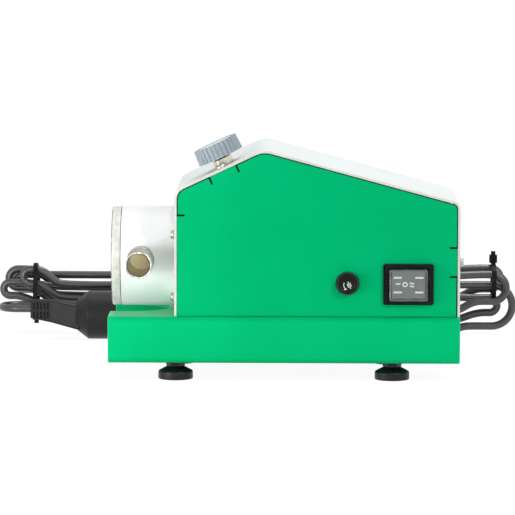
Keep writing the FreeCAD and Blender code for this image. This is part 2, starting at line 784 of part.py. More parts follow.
for index in range(knob_flutes):
    angle = 2 * math.pi * index / knob_flutes
    spoke = knob_side * math.cos(angle) + knob_up * math.sin(angle)
    flute_foot = knob_base + spoke * (knob_radius + flute_radius / 2)
    flute_top = knob_base + knob_out * knob_thickness + spoke * (knob_top_radius + flute_radius / 2)
    flute_run = flute_top - flute_foot
    flutes.append(rod(flute_foot - flute_run, flute_run, flute_radius, 3 * flute_run.Length))
knob_socket = rod(knob_base, knob_out, pot_shaft_radius + fit_clearance, pot_shaft_height - knob_lift)
keep("speed_knob", knob.cut(flutes + [knob_socket]).removeSplitter())


def upright_block(width, height, corner, start, depth):
    """A block centred on the switch, with rounded corners in front view."""
    left = switch_x - width / 2
    right = switch_x + width / 2
    low = switch_z - height / 2
    high = switch_z + height / 2
    corners = [(left, low, corner), (left, high, corner), (right, high, corner), (right, low, corner)]
    face = rounded_face(corners, front_view)
    return face.translated(Vector(0, start, 0)).extrude(Vector(0, depth, 0))


# Rocker switch: one moulding with a pocket, a rocker on two stub pins, and a clear splash cap
rocker_width = splash_width - 2 * splash_wall - 2 * rocker_side_gap
rocker_height = splash_height - 2 * splash_wall - 2 * rocker_end_gap
pocket_depth = rocker_depth - rocker_proud + rocker_back_room
cutout_width = switch_width + 2 * cutout_clearance
cutout_height = switch_body_height + 2 * cutout_clearance
pocket_width = splash_width + 2 * splash_clearance
pocket_height = splash_height + 2 * splash_clearance
panel = panel.cut(upright_block(cutout_width, cutout_height, 0, panel_front, panel_sheet))
switch = upright_block(bezel_width, bezel_height, bezel_corner, bezel_front, bezel_thickness)
switch = switch.fuse(upright_block(switch_width, switch_body_height, 0, panel_front, switch_depth))
switch = switch.cut(upright_block(pocket_width, pocket_height, 0, bezel_front, pocket_depth))
pivot_y = bezel_front + pivot_depth
pivot_span = pocket_height + 2 * pivot_seat
pivot_start = Vector(switch_x, pivot_y, switch_z - pivot_span / 2)
pivot_hole_start = pivot_start - ALONG_Z * fit_clearance
pivot_hole_span = pivot_span + 2 * fit_clearance
switch = switch.cut(rod(pivot_hole_start, ALONG_Z, pivot_radius + fit_clearance, pivot_hole_span))
keep("switch_body", switch.removeSplitter())
rocker_front = bezel_front - rocker_proud
rocker_half = rocker_width / 2
rocker_outline = [
    Vector(switch_x - rocker_half, rocker_front, 0),
    Vector(switch_x, rocker_front + rocker_dish, 0),
    Vector(switch_x + rocker_half, rocker_front, 0),
    Vector(switch_x + rocker_half, pivot_y, 0),
    Vector(switch_x + rocker_half / 2, rocker_front + rocker_depth, 0),
    Vector(switch_x - rocker_half / 2, rocker_front + rocker_depth, 0),
    Vector(switch_x - rocker_half, pivot_y, 0),
]
rocker = Part.Face(Part.makePolygon(rocker_outline + rocker_outline[:1])).extrude(ALONG_Z * rocker_height)
rocker = rocker.translated(ALONG_Z * (switch_z - rocker_height / 2))
rocker = rocker.fuse(rod(pivot_start, ALONG_Z, pivot_radius, pivot_span)).removeSplitter()
keep("switch_rocker", rocker)
splash_depth = splash_proud + splash_seat
splash = upright_block(splash_width, splash_height, bezel_corner, splash_front, splash_depth)
splash_room = (splash_width - 2 * splash_wall, splash_height - 2 * splash_wall, bezel_corner - splash_wall)
splash_core = upright_block(*splash_room, splash_front + splash_wall, splash_depth - splash_wall)
keep("switch_splash_cap", splash.cut(splash_core))
terminals = []
terminal_y = panel_front + switch_depth
for column in (-1, 0, 1):
    for row in (-1, 1):
        blade_x = switch_x + column * terminal_pitch
        blade_z = switch_z + row * terminal_row
        spread = (blade_x - terminal_thickness / 2, blade_x + terminal_thickness / 2)
        rise = (blade_z - terminal_width / 2, blade_z + terminal_width / 2)
        terminals.append(box(spread, (terminal_y, terminal_y + terminal_length), rise))
keep("switch_terminals", Part.makeCompound(terminals))

# Fuse holder: barrel through the panel, a carrier that pulls out and a cap that turns on it
fuse_axis = Vector(fuse_x, 0, fuse_z)
carrier_front = cap_back + fuse_skirt_length + fuse_carrier_gap
carrier_end = carrier_front + fuse_carrier_length
fuse_barrel_length = carrier_end + fuse_spring_room + fuse_end_wall - panel_front
fuse_cutout = fuse_barrel_radius + cutout_clearance
panel = panel.cut(rod(fuse_axis + ALONG_Y * panel_front, ALONG_Y, fuse_cutout, panel_sheet))
keep("front_panel", panel)
holder = rod(fuse_axis + ALONG_Y * fuse_front, ALONG_Y, fuse_flange_radius, fuse_flange)
holder = holder.fuse(rod(fuse_axis + ALONG_Y * panel_front, ALONG_Y, fuse_barrel_radius, fuse_barrel_length))
bore_length = fuse_flange + fuse_barrel_length - fuse_end_wall
holder = holder.cut(rod(fuse_axis + ALONG_Y * fuse_front, ALONG_Y, fuse_bore_radius, bore_length))
holder = holder.cut(rod(fuse_axis + ALONG_Y * fuse_front, ALONG_Y, fuse_mouth_radius, fuse_mouth_depth))
keep("fuse_holder", holder.removeSplitter())
nut_start = fuse_axis + ALONG_Y * panel_back
fuse_nut = hexagon(nut_start, ALONG_Y, fuse_nut_flats, fuse_nut_height)
keep("fuse_nut", fuse_nut.cut(rod(nut_start, ALONG_Y, fuse_barrel_radius + fit_clearance, fuse_nut_height)))
cap = rod(fuse_axis + ALONG_Y * cap_front, ALONG_Y, fuse_cap_radius, fuse_cap_height)
cap = cap.fuse(rod(fuse_axis + ALONG_Y * cap_back, ALONG_Y, fuse_skirt_radius, fuse_skirt_length))
keep("fuse_cap", cap.removeSplitter())
carrier_start = fuse_axis + ALONG_Y * carrier_front
carrier = ring(carrier_start, ALONG_Y, fuse_carrier_radius, fuse_carrier_bore, fuse_carrier_length)
keep("fuse_carrier", carrier)
cartridge_inset = (fuse_carrier_length - fuse_cartridge_length) / 2
cartridge_start = carrier_start + ALONG_Y * cartridge_inset
keep("fuse_cartridge", rod(cartridge_start, ALONG_Y, fuse_cartridge_radius, fuse_cartridge_length))

# Speed control board on four standoffs behind the switch
board_right = cover_right - board_from_right
board_rear = -foot_tab_y[1] - board_rear_gap
board_x = (board_right - board_length, board_right)
board_y = (board_rear - board_depth, board_rear)
board_floor = base_top + standoff_height
board_deck = board_floor + board_thickness
keep("control_board", box(board_x, board_y, (board_floor, board_deck)))
standoffs = []
for corner_x in (board_x[0] + standoff_inset, board_x[1] - standoff_inset):
    for corner_y in (board_y[0] + standoff_inset, board_y[1] - standoff_inset):
        standoffs.append(rod(Vector(corner_x, corner_y, base_top), ALONG_Z, standoff_radius, standoff_height))
keep("board_standoffs", Part.makeCompound(standoffs))
capacitor_x = board_x[0] + standoff_inset + standoff_radius + capacitor_radius
capacitor_foot = Vector(capacitor_x, sum(board_y) / 2, board_deck)
capacitor = rod(capacitor_foot, ALONG_Z, capacitor_radius, capacitor_height)
sink_x = (board_x[1] - standoff_inset - heat_sink_length, board_x[1] - standoff_inset)
sink_y = (board_y[1] - standoff_inset - heat_sink_thickness, board_y[1] - standoff_inset)
heat_sink = box(sink_x, sink_y, (board_deck, board_deck + heat_sink_height))
relay_x = (sink_x[0] + standoff_inset, sink_x[0] + standoff_inset + relay_length)
relay_y = (board_y[0] + standoff_inset, board_y[0] + standoff_inset + relay_depth)
relay = box(relay_x, relay_y, (board_deck, board_deck + relay_height))
keep("board_components", Part.makeCompound([capacitor, heat_sink, relay]))

# Cable gland on the rear panel, with a tapered sleeve where the cord leaves
gland_axis = Vector(gland_x, 0, gland_z)
gland_seat = gland_axis + ALONG_Y * -panel_front
gland_inside = gland_seat - ALONG_Y * gland_thread_length
gland_hole = rod(gland_inside, ALONG_Y, gland_thread_radius + cutout_clearance, gland_thread_length)
keep("rear_panel", rear_panel.cut(gland_hole))
gland = rod(gland_inside, ALONG_Y, gland_thread_radius, gland_thread_length)
sleeve_start = gland_seat + ALONG_Y * gland_hex
sleeve = Part.makeCone(gland_sleeve_root, gland_sleeve_tip, gland_sleeve_length, sleeve_start, ALONG_Y)
gland = gland.fuse([hexagon(gland_seat, ALONG_Y, gland_flats, gland_hex), sleeve]).removeSplitter()
keep("cable_gland", gland)
gland_nut_start = gland_seat - ALONG_Y * (panel_sheet + gland_nut_height)
gland_nut = hexagon(gland_nut_start, ALONG_Y, gland_flats, gland_nut_height)
nut_thread = rod(gland_nut_start, ALONG_Y, gland_thread_radius + fit_clearance, gland_nut_height)
keep("gland_nut", gland_nut.cut(nut_thread))

# Cord: a free lead from the gland over the hank, and the tied hank as one unbroken tube
rows_back = reversed(range(len(top_run_heights)))
hank_rows = [hank_front + hank_pitch * row for row in rows_back]
hank_join = Vector(hank_start, hank_rows[0], top_run_heights[0])
gland_exit = sleeve_start + ALONG_Y * gland_sleeve_length
lead_points = [
    gland_exit,
    gland_exit + ALONG_Y * lead_straight,
    Vector(61, 120, 51.5),
    Vector(58, 143, 46),
    Vector(54, 166, 43.6),
    Vector(45, 191, 45),
    hank_join + ALONG_X * hank_lead_in,
    hank_join,
]


def bent_route(points):
    """Straight runs joined by arcs as large as the runs beside each corner allow."""
    edges = []
    radii = []
    last = points[0]
    for index in range(1, len(points) - 1):
        spot = points[index]
        back = points[index - 1] - spot
        ahead = points[index + 1] - spot
        reach = 0.45 * min(back.Length, ahead.Length)
        half = back.getAngle(ahead) / 2
        radius = reach * math.tan(half)
        back = back.normalize()
        ahead = ahead.normalize()
        start = spot + back * reach
        end = spot + ahead * reach
        inward = (back + ahead).normalize()
        middle = spot + inward * (radius / math.sin(half) - radius)
        edges.append(Part.makeLine(last, start))
        edges.append(Part.Arc(start, middle, end).toShape())
        radii.append(radius)
        last = end
    edges.append(Part.makeLine(last, points[-1]))
    return edges, radii


def arc_from(start, heading, end):
    """An arc that leaves start along heading and passes through end, or a line where it is straight."""
    chord = end - start
    turn = heading.getAngle(chord)
    if turn < 1e-6:
        return Part.makeLine(start, end)
    radius = chord.Length / (2 * math.sin(turn))
    sideways = (chord - heading * chord.dot(heading)).normalize()
    middle = start + heading * (radius * math.sin(turn)) + sideways * (radius * (1 - math.cos(turn)))
    return Part.Arc(start, middle, end).toShape()


def biarc(start, heading, end, arrival):
    """Two arcs that join start to end with the given headings."""
    gap = end - start
    spread = 2 * (1 - heading.dot(arrival))
    along = 2 * gap.dot(heading + arrival)
    if spread < 1e-9:
        reach = gap.dot(gap) / along
    else:
        reach = (math.sqrt(along**2 + 4 * spread * gap.dot(gap)) - along) / (2 * spread)
    joint = (start + heading * reach + end - arrival * reach) * 0.5
    first = arc_from(start, heading, joint)
    last = arc_from(end, arrival * -1, joint)
    return [first, last]


def swept(edges, radius, start, heading):
    section = Part.Wire(Part.makeCircle(radius, start, heading))
    return Part.Wire(Part.__sortEdges__(edges)).makePipeShell([section], True, False)


lead_edges, lead_radii = bent_route(lead_points)
keep("mains_lead", swept(lead_edges, cord_radius, gland_exit, lead_points[1] - gland_exit))

go_left = ALONG_X * -1
go_right = Vector(ALONG_X)
hank_keys = [(hank_join, go_left)]
last_loop = len(left_turn_x)
for loop in range(last_loop):
    row = hank_rows[loop]
    top = top_run_heights[loop]
    low = low_run_heights[loop]
    left_x = left_turn_x[loop]
    left_z = left_turn_heights[loop]
    left_r = left_turn_radii[loop]
    right_x = right_turn_x[loop]
    right_z = right_turn_heights[loop]
    right_r = right_turn_radii[loop]
    next_top = top_run_heights[loop + 1]
    hank_keys.append((Vector(left_gather_x, row, top), go_left))
    hank_keys.append((Vector(left_x, row, left_z + left_r), go_left))
    hank_keys.append((Vector(left_x, row, left_z - left_r), go_right))
    hank_keys.append((Vector(left_gather_x, row, low), go_right))
    hank_keys.append((Vector(right_x, row, right_z - right_r), go_right))
    hank_keys.append((Vector(right_x, row, right_z + right_r), go_left))
    hank_keys.append((Vector(right_x - right_straight, row, right_z + right_r), go_left))
    hank_keys.append((Vector(hank_start, hank_rows[loop + 1], next_top), go_left))
plug_entry = Vector(plug_relief_start, plug_y, plug_cord_height)
last_turn_x = plug_relief_start - last_turn_lead
hank_keys.append((Vector(last_turn_x, hank_rows[last_loop], plug_cord_height), go_left))
hank_keys.append((Vector(last_turn_x, plug_y, plug_cord_height), go_right))
hank_keys.append((plug_entry, go_right))
hank_edges = []
for (start, heading), (end, arrival) in zip(hank_keys, hank_keys[1:]):
    hank_edges += biarc(start, heading, end, arrival)
keep("cord_hank", swept(hank_edges, cord_radius, hank_join, go_left))


def self_gap(edges, radius, step):
    """The least space between stretches of the tube that lie apart along it."""
    spots = []
    for edge in edges:
        count = max(2, int(edge.Length / step))
        spots += [tuple(spot) for spot in edge.discretize(count)[:-1]]
    skip = int(6 * radius / step)
    least = math.inf
    for index, spot in enumerate(spots):
        for other in spots[index + skip:]:
            least = min(least, math.dist(spot, other))
    return least - 2 * radius


ordered_hank = Part.__sortEdges__(hank_edges)
print("lead radii", [round(radius, 1) for radius in lead_radii])
print("hank gap", round(self_gap(ordered_hank, cord_radius, cord_radius), 2))
lead_length = sum(edge.Length for edge in lead_edges)
hank_length = sum(edge.Length for edge in hank_edges)
print("lead length", round(lead_length, 1), "hank length", round(hank_length, 1))

# Ties: a band around the strands at each end of the hank, with its head and its cut tail
strand_margin = cord_radius + tie_slack


def strands_at(x, lowest):
    """Where the hank's strands above a height pass a place along it, as (y, z) pairs."""
    crossings = []
    for edge in hank_edges:
        spots = edge.discretize(max(2, int(edge.Length)))
        for near, far in zip(spots, spots[1:]):
            if (near.x - x) * (far.x - x) < 0:
                share = (x - near.x) / (far.x - near.x)
                spot = near + (far - near) * share
                if lowest < spot.z and spot.y > hank_front - cord_radius:
                    crossings.append((spot.y, spot.z))
    return crossings


def belt_round(crossings):
    """The corners of the shortest belt round the crossings."""
    half_belts = []
    for spots in (sorted(crossings), sorted(crossings, reverse=True)):
        half = []
        for spot in spots:
            while len(half) > 1:
                (y0, z0), (y1, z1) = half[-2:]
                if (y1 - y0) * (spot[1] - z0) - (z1 - z0) * (spot[0] - y0) > 0:
                    break
                half.pop()
            half.append(spot)
        half_belts.append(half[:-1])
    return [Vector(0, y, z) for y, z in half_belts[0] + half_belts[1]]


def strands_in(x, lowest):
    """The belt round every strand that passes under a tie."""
    return belt_round(strands_at(x - tie_width / 2, lowest) + strands_at(x + tie_width / 2, lowest))


left_strands = strands_in(left_tie_x, 0)
right_strands = strands_in(right_tie_x, min(top_run_heights))


def tie(strands, x, head_spot, tail_down):
    """A cable tie around the strands, square to the hank, with its head beside the band."""
    belt = Part.makePolygon(strands + strands[:1])
    inner = Part.Face(belt.makeOffset2D(strand_margin))
    outer = Part.Face(belt.makeOffset2D(strand_margin + tie_band))
    start = Vector(x - tie_width / 2, 0, 0)
    band = outer.translated(start).extrude(ALONG_X * tie_width)
    band = band.cut(inner.translated(start).extrude(ALONG_X * tie_width))
    half = tie_head / 2
    head_x = (x - half, x + half)
    head = box(head_x, (head_spot.y - half, head_spot.y + half), (head_spot.z - half, head_spot.z + half))
    head = head.cut(inner.translated(Vector(x - tie_head, 0, 0)).extrude(ALONG_X * 2 * tie_head))
    reach = half + tie_tail
    tail_z = sorted((head_spot.z, head_spot.z - reach if tail_down else head_spot.z + reach))
    tail_x = (x - tie_width / 2, x + tie_width / 2)
    tail = box(tail_x, (head_spot.y - tie_band / 2, head_spot.y + tie_band / 2), tail_z)
    tail = tail.cut(inner.translated(Vector(x - tie_head, 0, 0)).extrude(ALONG_X * 2 * tie_head))
    return band.fuse([head, tail]).removeSplitter()


left_low = min(left_strands, key=lambda spot: spot.z)
head_off = strand_margin + (tie_band + tie_head) / 2
left_head = left_low - ALONG_Z * head_off
keep("tie_left", tie(left_strands, left_tie_x, left_head, True))
right_high = max(right_strands, key=lambda spot: spot.z)
right_head = right_high + ALONG_Z * head_off
keep("tie_right", tie(right_strands, right_tie_x, right_head, False))

# Plug: slotted strain relief, a grip that dips to the table, and a round head that rests on it
relief_end = plug_relief_start + plug_relief_length
grip_end = relief_end + plug_grip_length
cone_start = grip_end - plug_cone_lap
head_start = cone_start + plug_cone_length
head_end = head_start + plug_head_length
grip_start_z = plug_cord_height - plug_grip_drop
grip_end_z = plug_cord_height - plug_neck_drop


def plug_section(x, middle, width, height):
    """A rounded section of the plug, square to its cord, about a middle height."""
    left = plug_y - width / 2
    right = plug_y + width / 2
    low = middle - height / 2
    high = middle + height / 2
    corner = plug_corner
    corners = [(left, low, corner), (left, high, corner), (right, high, corner), (right, low, corner)]
    return rounded_face(corners, end_view).translated(ALONG_X * x).OuterWire


relief_tip = plug_section(plug_relief_start, plug_cord_height, plug_relief_width, plug_relief_height)
grip_tip = plug_section(relief_end, grip_start_z, plug_relief_width, plug_grip_start_height)
grip_root = plug_section(grip_end, grip_end_z, plug_grip_width, plug_grip_height)
relief = Part.makeLoft([relief_tip, grip_tip], True, True)
grip = Part.makeLoft([grip_tip, grip_root], True, True)
cone_foot = Vector(cone_start, plug_y, plug_head_radius)
plug_cone = Part.makeCone(plug_cone_radius, plug_head_radius, plug_cone_length, cone_foot, ALONG_X)
plug_head = rod(Vector(head_start, plug_y, plug_head_radius), ALONG_X, plug_head_radius, plug_head_length)
relief_middle = (plug_cord_height + grip_start_z) / 2
slots = []
slot_margin_x = (plug_relief_length - relief_slot_pitch * (relief_slots - 1)) / 2
for index in range(relief_slots):
    slot_x = plug_relief_start + slot_margin_x + relief_slot_pitch * index
    for face_side in (-1, 1):
        for rise in (-1, 1):
            face_y = plug_y + face_side * plug_relief_width / 2
            slot_z = relief_middle + rise * relief_slot_rise
            spread = (slot_x - relief_slot_width / 2, slot_x + relief_slot_width / 2)
            depth = (face_y - relief_slot_depth, face_y + relief_slot_depth)
            rise_z = (slot_z - relief_slot_height / 2, slot_z + relief_slot_height / 2)
            slots.append(box(spread, depth, rise_z))
plug_body = relief.fuse([grip, plug_cone, plug_head]).removeSplitter().cut(slots)
keep("plug_body", plug_body)
pins = []
for side in (-1, 1):
    pin_start = Vector(head_end, plug_y + side * pin_spacing / 2, plug_head_radius)
    pins.append(rod(pin_start, ALONG_X, pin_radius, pin_length))
keep("plug_pins", Part.makeCompound(pins))

os.makedirs("parts", exist_ok=True)
for name, shape in pieces.items():
    shape.translated(centring).exportStep(f"parts/{name}.step")
print("nodes", len(pieces), "centring", [round(value, 3) for value in centring])
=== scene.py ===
import json
import math

import bmesh
import bpy
from mathutils import Matrix, Quaternion, Vector
from mathutils.bvhtree import BVHTree

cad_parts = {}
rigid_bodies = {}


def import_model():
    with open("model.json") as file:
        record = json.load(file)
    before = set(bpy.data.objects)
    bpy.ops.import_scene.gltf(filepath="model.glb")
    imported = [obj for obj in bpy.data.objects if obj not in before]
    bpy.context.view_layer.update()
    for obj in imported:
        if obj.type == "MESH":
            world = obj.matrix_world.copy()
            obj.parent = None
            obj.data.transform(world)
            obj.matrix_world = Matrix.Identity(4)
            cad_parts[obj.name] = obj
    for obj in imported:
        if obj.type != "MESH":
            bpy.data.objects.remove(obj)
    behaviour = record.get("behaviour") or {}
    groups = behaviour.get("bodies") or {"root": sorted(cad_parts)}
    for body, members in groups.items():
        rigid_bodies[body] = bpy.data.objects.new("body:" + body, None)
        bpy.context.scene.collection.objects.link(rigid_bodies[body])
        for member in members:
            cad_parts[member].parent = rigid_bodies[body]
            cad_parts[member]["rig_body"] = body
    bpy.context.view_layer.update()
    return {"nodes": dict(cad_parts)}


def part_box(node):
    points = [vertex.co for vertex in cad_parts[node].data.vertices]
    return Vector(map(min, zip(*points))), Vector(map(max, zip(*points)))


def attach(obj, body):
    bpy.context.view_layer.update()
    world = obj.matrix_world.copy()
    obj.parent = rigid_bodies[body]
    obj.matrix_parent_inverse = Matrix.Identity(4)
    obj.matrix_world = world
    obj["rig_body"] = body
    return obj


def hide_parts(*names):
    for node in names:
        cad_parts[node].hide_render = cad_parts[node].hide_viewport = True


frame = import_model()

# Base frame: one sheet of steel, folded down along its front and rear edges, with a slot under the chamber.
# It is powder coated green, and a paler green painted along the rounded cut edges and bends stands for their
# highlight.
mm = 0.001
merge_reach = 1e-6
flat_turn = math.radians(1)
sharp_turn = math.radians(35)
square_on = 0.9
noise_range = (0.3, 0.7)


def shade(red, green, blue):
    """A screen colour, 0 to 255, as the linear colour that a shader takes."""
    linear = []
    for level in (red, green, blue):
        share = level / 255
        linear.append(share / 12.92 if share < 0.04 else ((share + 0.055) / 1.055) ** 2.4)
    return (*linear, 1.0)


def wire(node, **inputs):
    """A node whose inputs, named in small letters, are set to values or linked to other nodes' outputs."""
    for words, value in inputs.items():
        socket = node.inputs[words.replace("_", " ").title().replace("Ior", "IOR")]
        if isinstance(value, bpy.types.NodeSocket):
            node.id_data.links.new(value, socket)
        else:
            socket.default_value = value
    return node


def finish(name, dark, light, patch, rough, grain, relief, stretch=(1, 1, 1), **constants):
    """A surface that drifts between two shades in patches, with a fine grain in its gloss and its relief.

    patch, grain and relief are in mm, rough is the range of the gloss, and stretch draws the grain out.
    """
    material = bpy.data.materials.new(name)
    material.use_nodes = True
    nodes = material.node_tree.nodes
    place = nodes.new("ShaderNodeTexCoord").outputs["Object"]
    cloud = wire(nodes.new("ShaderNodeTexNoise"), vector=place, scale=1 / (patch * mm), detail=3)
    colour = wire(nodes.new("ShaderNodeValToRGB"), fac=cloud.outputs["Fac"])
    for stop, level, tint in zip(colour.color_ramp.elements, noise_range, (dark, light)):
        stop.position = level
        stop.color = tint
    drawn = wire(nodes.new("ShaderNodeMapping"), vector=place, scale=stretch).outputs["Vector"]
    speck = wire(nodes.new("ShaderNodeTexNoise"), vector=drawn, scale=1 / (grain * mm), detail=4)
    gloss = wire(nodes.new("ShaderNodeMapRange"), value=speck.outputs["Fac"], from_min=noise_range[0],
                 from_max=noise_range[1], to_min=rough[0], to_max=rough[1])
    bump = wire(nodes.new("ShaderNodeBump"), height=speck.outputs["Fac"], distance=relief * mm)
    wire(nodes["Principled BSDF"], base_color=colour.outputs["Color"], roughness=gloss.outputs["Result"],
         normal=bump.outputs["Normal"], **constants)
    return material


def shown(name, form, *materials):
    """A new object in the scene from a bmesh, which is used up."""
    mesh = bpy.data.meshes.new(name)
    form.to_mesh(mesh)
    form.free()
    for material in materials:
        mesh.materials.append(material)
    piece = bpy.data.objects.new(name, mesh)
    bpy.context.scene.collection.objects.link(piece)
    return piece


def settled(piece):
    """The piece with its modifiers worked into a plain mesh."""
    evaluated = piece.evaluated_get(bpy.context.evaluated_depsgraph_get())
    mesh = bpy.data.meshes.new_from_object(evaluated)
    piece.modifiers.clear()
    piece.data = mesh
    return piece


def standing_for(piece, node):
    """The piece stands for a frame node, on that node's body."""
    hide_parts(node)
    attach(piece, frame["nodes"][node]["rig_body"])
    return piece


def merged_copy(node):
    """A bmesh of a frame node, with its loose triangles joined."""
    form = bmesh.new()
    form.from_mesh(frame["nodes"][node].data)
    bmesh.ops.remove_doubles(form, verts=form.verts, dist=merge_reach)
    return form


def softened(node, width, slot, *materials, pick=None, rounded=None, steps=2, painted_edge=0):
    """A copy of a frame node with rounded edges, which stands for it on the same body.

    width is the rounding in mm. pick gives a face's place among the materials, and the last argument that of
    the rounded edges, whose paler or darker material is a painted highlight or painted shade.
    rounded says which sharp edges are rounded; without it, all of them are.
    """
    form = merged_copy(node)
    bmesh.ops.dissolve_limit(form, angle_limit=flat_turn, verts=form.verts, edges=form.edges)
    for face in form.faces:
        face.smooth = True
        face.material_index = pick(face) if pick else 0
    weights = form.edges.layers.float.new("bevel_weight_edge")
    for edge in form.edges:
        if edge.calc_face_angle(0) > sharp_turn:
            if rounded is None or rounded(edge):
                edge[weights] = 1.0
            else:
                edge.smooth = False
    piece = shown(node + "_finished", form, *materials)
    rounding = piece.modifiers.new("rounded edges", "BEVEL")
    rounding.width = width * mm
    rounding.segments = steps
    rounding.limit_method = "WEIGHT"
    rounding.use_clamp_overlap = False
    # The rounded edges take their own material where one is given: a painted highlight or painted shade.
    rounding.material = painted_edge - 1
    level = piece.modifiers.new("level faces", "WEIGHTED_NORMAL")
    level.keep_sharp = True
    return standing_for(settled(piece), node)


base_coat = finish("base powder coat", shade(0, 185, 114), shade(0, 194, 122), 60, (0.4, 0.55), 0.8, 0.03,
                   specular_ior_level=0.03)
# Faces that look up get a glossier coat, and its green is painted a little paler as a highlight.
glossy_top_painted_paler = finish("base coat on top", shade(0, 194, 117), shade(0, 202, 124), 60, (0.3, 0.42), 0.8, 0.02,
                  specular_ior_level=0.4)
# Painted highlight: a paler green on the base's rounded edges.
base_edge_highlight = finish("base coat on edges", shade(20, 198, 128), shade(40, 208, 142), 12, (0.3, 0.45), 0.8, 0.02,
                   specular_ior_level=0.3)


def top_plate(face):
    """The glossier coat, painted a little paler as a highlight, for faces that look up, and the plain coat
    for the rest.
    """
    return 2 if face.normal.z > square_on else 0


softened("base_frame", 0.35, "base_green", base_coat, base_edge_highlight, glossy_top_painted_paler, pick=top_plate, painted_edge=2)

# Levelling feet and their nuts: moulded black pads with a hexagon neck, on zinc plated threaded studs.
# Each stud turns in a nut welded under the top sheet of the base.
foot_black = finish("foot plastic", shade(18, 19, 18), shade(27, 28, 27), 8, (0.3, 0.46), 0.35, 0.02,
                    specular_ior_level=0.3)
zinc_plate = finish("zinc plate", shade(168, 170, 168), shade(200, 202, 198), 1.5, (0.2, 0.36), 0.25, 0.006,
                    metallic=1.0)
neck_top = 11.3 * mm
neck_foot = 8.0 * mm
neck_share = 0.83
pad_top = 5.2 * mm
stud_reach = 3.5 * mm


def stud_or_pad(face):
    """Zinc for the stud above the neck, and plastic for what is below."""
    return 1 if face.calc_center_median().z > neck_top else 0


def pad_edge(edge):
    """Whether an edge belongs to the pad, whose edges alone are rounded."""
    return max(corner.co.z for corner in edge.verts) < pad_top


for end in ("front", "rear"):
    for side in ("left", "right"):
        foot = softened(f"foot_{end}_{side}", 0.8, "foot_black", foot_black, zinc_plate, pick=stud_or_pad,
                        rounded=pad_edge, steps=3)
        foot_low, foot_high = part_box(f"foot_{end}_{side}")
        axis = (foot_low + foot_high) / 2
        for corner in foot.data.vertices:
            off = corner.co.xy - axis.xy
            if off.length > stud_reach:
                rise = min(1, max(0, (corner.co.z - pad_top) / (neck_foot - pad_top)))
                corner.co.xy = axis.xy + off * (1 - (1 - neck_share) * rise)
softened("foot_nuts", 0.25, "zinc_steel", zinc_plate)


# Motor and shaft: a small brushed motor, bolted to a plate inside the housing, with its rotor on the shaft.
# Pressed steel, cast aluminium, copper and ferrite, each with its own finish; the cover hides all of it.
def dressed(material, *nodes):
    """Gives frame nodes, whose shape stays, their finish."""
    for node in nodes:
        mesh = frame["nodes"][node].data
        mesh.materials.clear()
        mesh.materials.append(material)


cast_aluminium = finish("cast aluminium", shade(168, 171, 172), shade(194, 196, 196), 3, (0.3, 0.48), 0.4,
                        0.015, metallic=1.0)
pressed_steel = finish("pressed steel", shade(92, 95, 98), shade(124, 127, 130), 6, (0.28, 0.45), 0.5, 0.01,
                       stretch=(0.1, 1, 1), metallic=1.0)
ferrite = finish("ferrite and carbon", shade(38, 38, 40), shade(56, 56, 58), 2, (0.6, 0.8), 0.3, 0.03)
copper = finish("copper", shade(184, 112, 74), shade(206, 138, 96), 2, (0.2, 0.4), 0.3, 0.008, metallic=1.0)
black_plastic = finish("black plastic", shade(16, 18, 18), shade(25, 28, 28), 6, (0.3, 0.45), 0.3, 0.02,
                       specular_ior_level=0.12)
seal_rubber = finish("seal rubber", shade(22, 22, 23), shade(34, 34, 35), 4, (0.55, 0.7), 0.4, 0.02)
dressed(cast_aluminium, "motor_plate", "motor_front_cap", "motor_rear_cap")
dressed(pressed_steel, "motor_can", "rotor_core")
dressed(ferrite, "motor_magnets", "motor_brushes")
dressed(copper, "commutator")
dressed(black_plastic, "brush_plate")
dressed(zinc_plate, "motor_shaft", "front_bearing", "rear_bearing", "motor_screws")

# Control board: a glass and resin laminate on four standoffs behind the switch, with its parts soldered on.
# Nothing of it shows from outside.
laminate = finish("board laminate", shade(20, 84, 52), shade(34, 106, 66), 1.2, (0.3, 0.5), 0.5, 0.02)
dressed(laminate, "control_board")
dressed(black_plastic, "board_standoffs", "board_components")

# Front and rear panels: sheet steel, cut to the outline of the housing, with folded tabs for the screws.
# They have the green powder coat of the base, with a dark line of painted shade along the cut edges and the
# slits, for the shade in the gaps beside the cover.
panel_coat = finish("panel powder coat", shade(0, 177, 109), shade(0, 186, 117), 70, (0.42, 0.55), 0.8, 0.03,
                    specular_ior_level=0.02)
# Painted shade: the dark green on the panels' rounded edges.
panel_edge_shade = finish("panel coat on edges", shade(2, 56, 38), shade(4, 72, 48), 10, (0.45, 0.6), 0.8, 0.02,
                    specular_ior_level=0.1)
for panel in ("front_panel", "rear_panel"):
    softened(panel, 0.32, "panel_green", panel_coat, panel_edge_shade, painted_edge=2)

# Top cover: one sheet of steel, bent over the panels from the left foot to the right foot.
# It is powder coated off-white, and its cut edges along the panels show a cream line.
cover_coat = finish("cover powder coat", shade(228, 236, 236), shade(235, 242, 241), 50, (0.36, 0.5), 0.8,
                    0.03, specular_ior_level=0.3)
cover_edge = finish("cover cut edge", shade(216, 209, 200), shade(228, 221, 212), 6, (0.4, 0.55), 0.5, 0.02)


def cut_edge(face):
    """The cream of the cut edge for faces along the panels, and the coat for the rest."""
    return 1 if abs(face.normal.y) > square_on else 0


softened("top_cover", 0.2, "cover_white", cover_coat, cover_edge, pick=cut_edge)


# Cover and base screws: zinc plated pan heads with a cross recess, through the cover into the panel tabs.
# Those under the base hold the panels' foot tabs. Each was driven home with its cross its own way round.
def ring_of(form, radius, height, sides, start=0):
    """New corners on a circle about Z."""
    ring = []
    for side in range(sides):
        angle = start + 2 * math.pi * side / sides
        ring.append(form.verts.new((radius * math.cos(angle), radius * math.sin(angle), height)))
    return ring


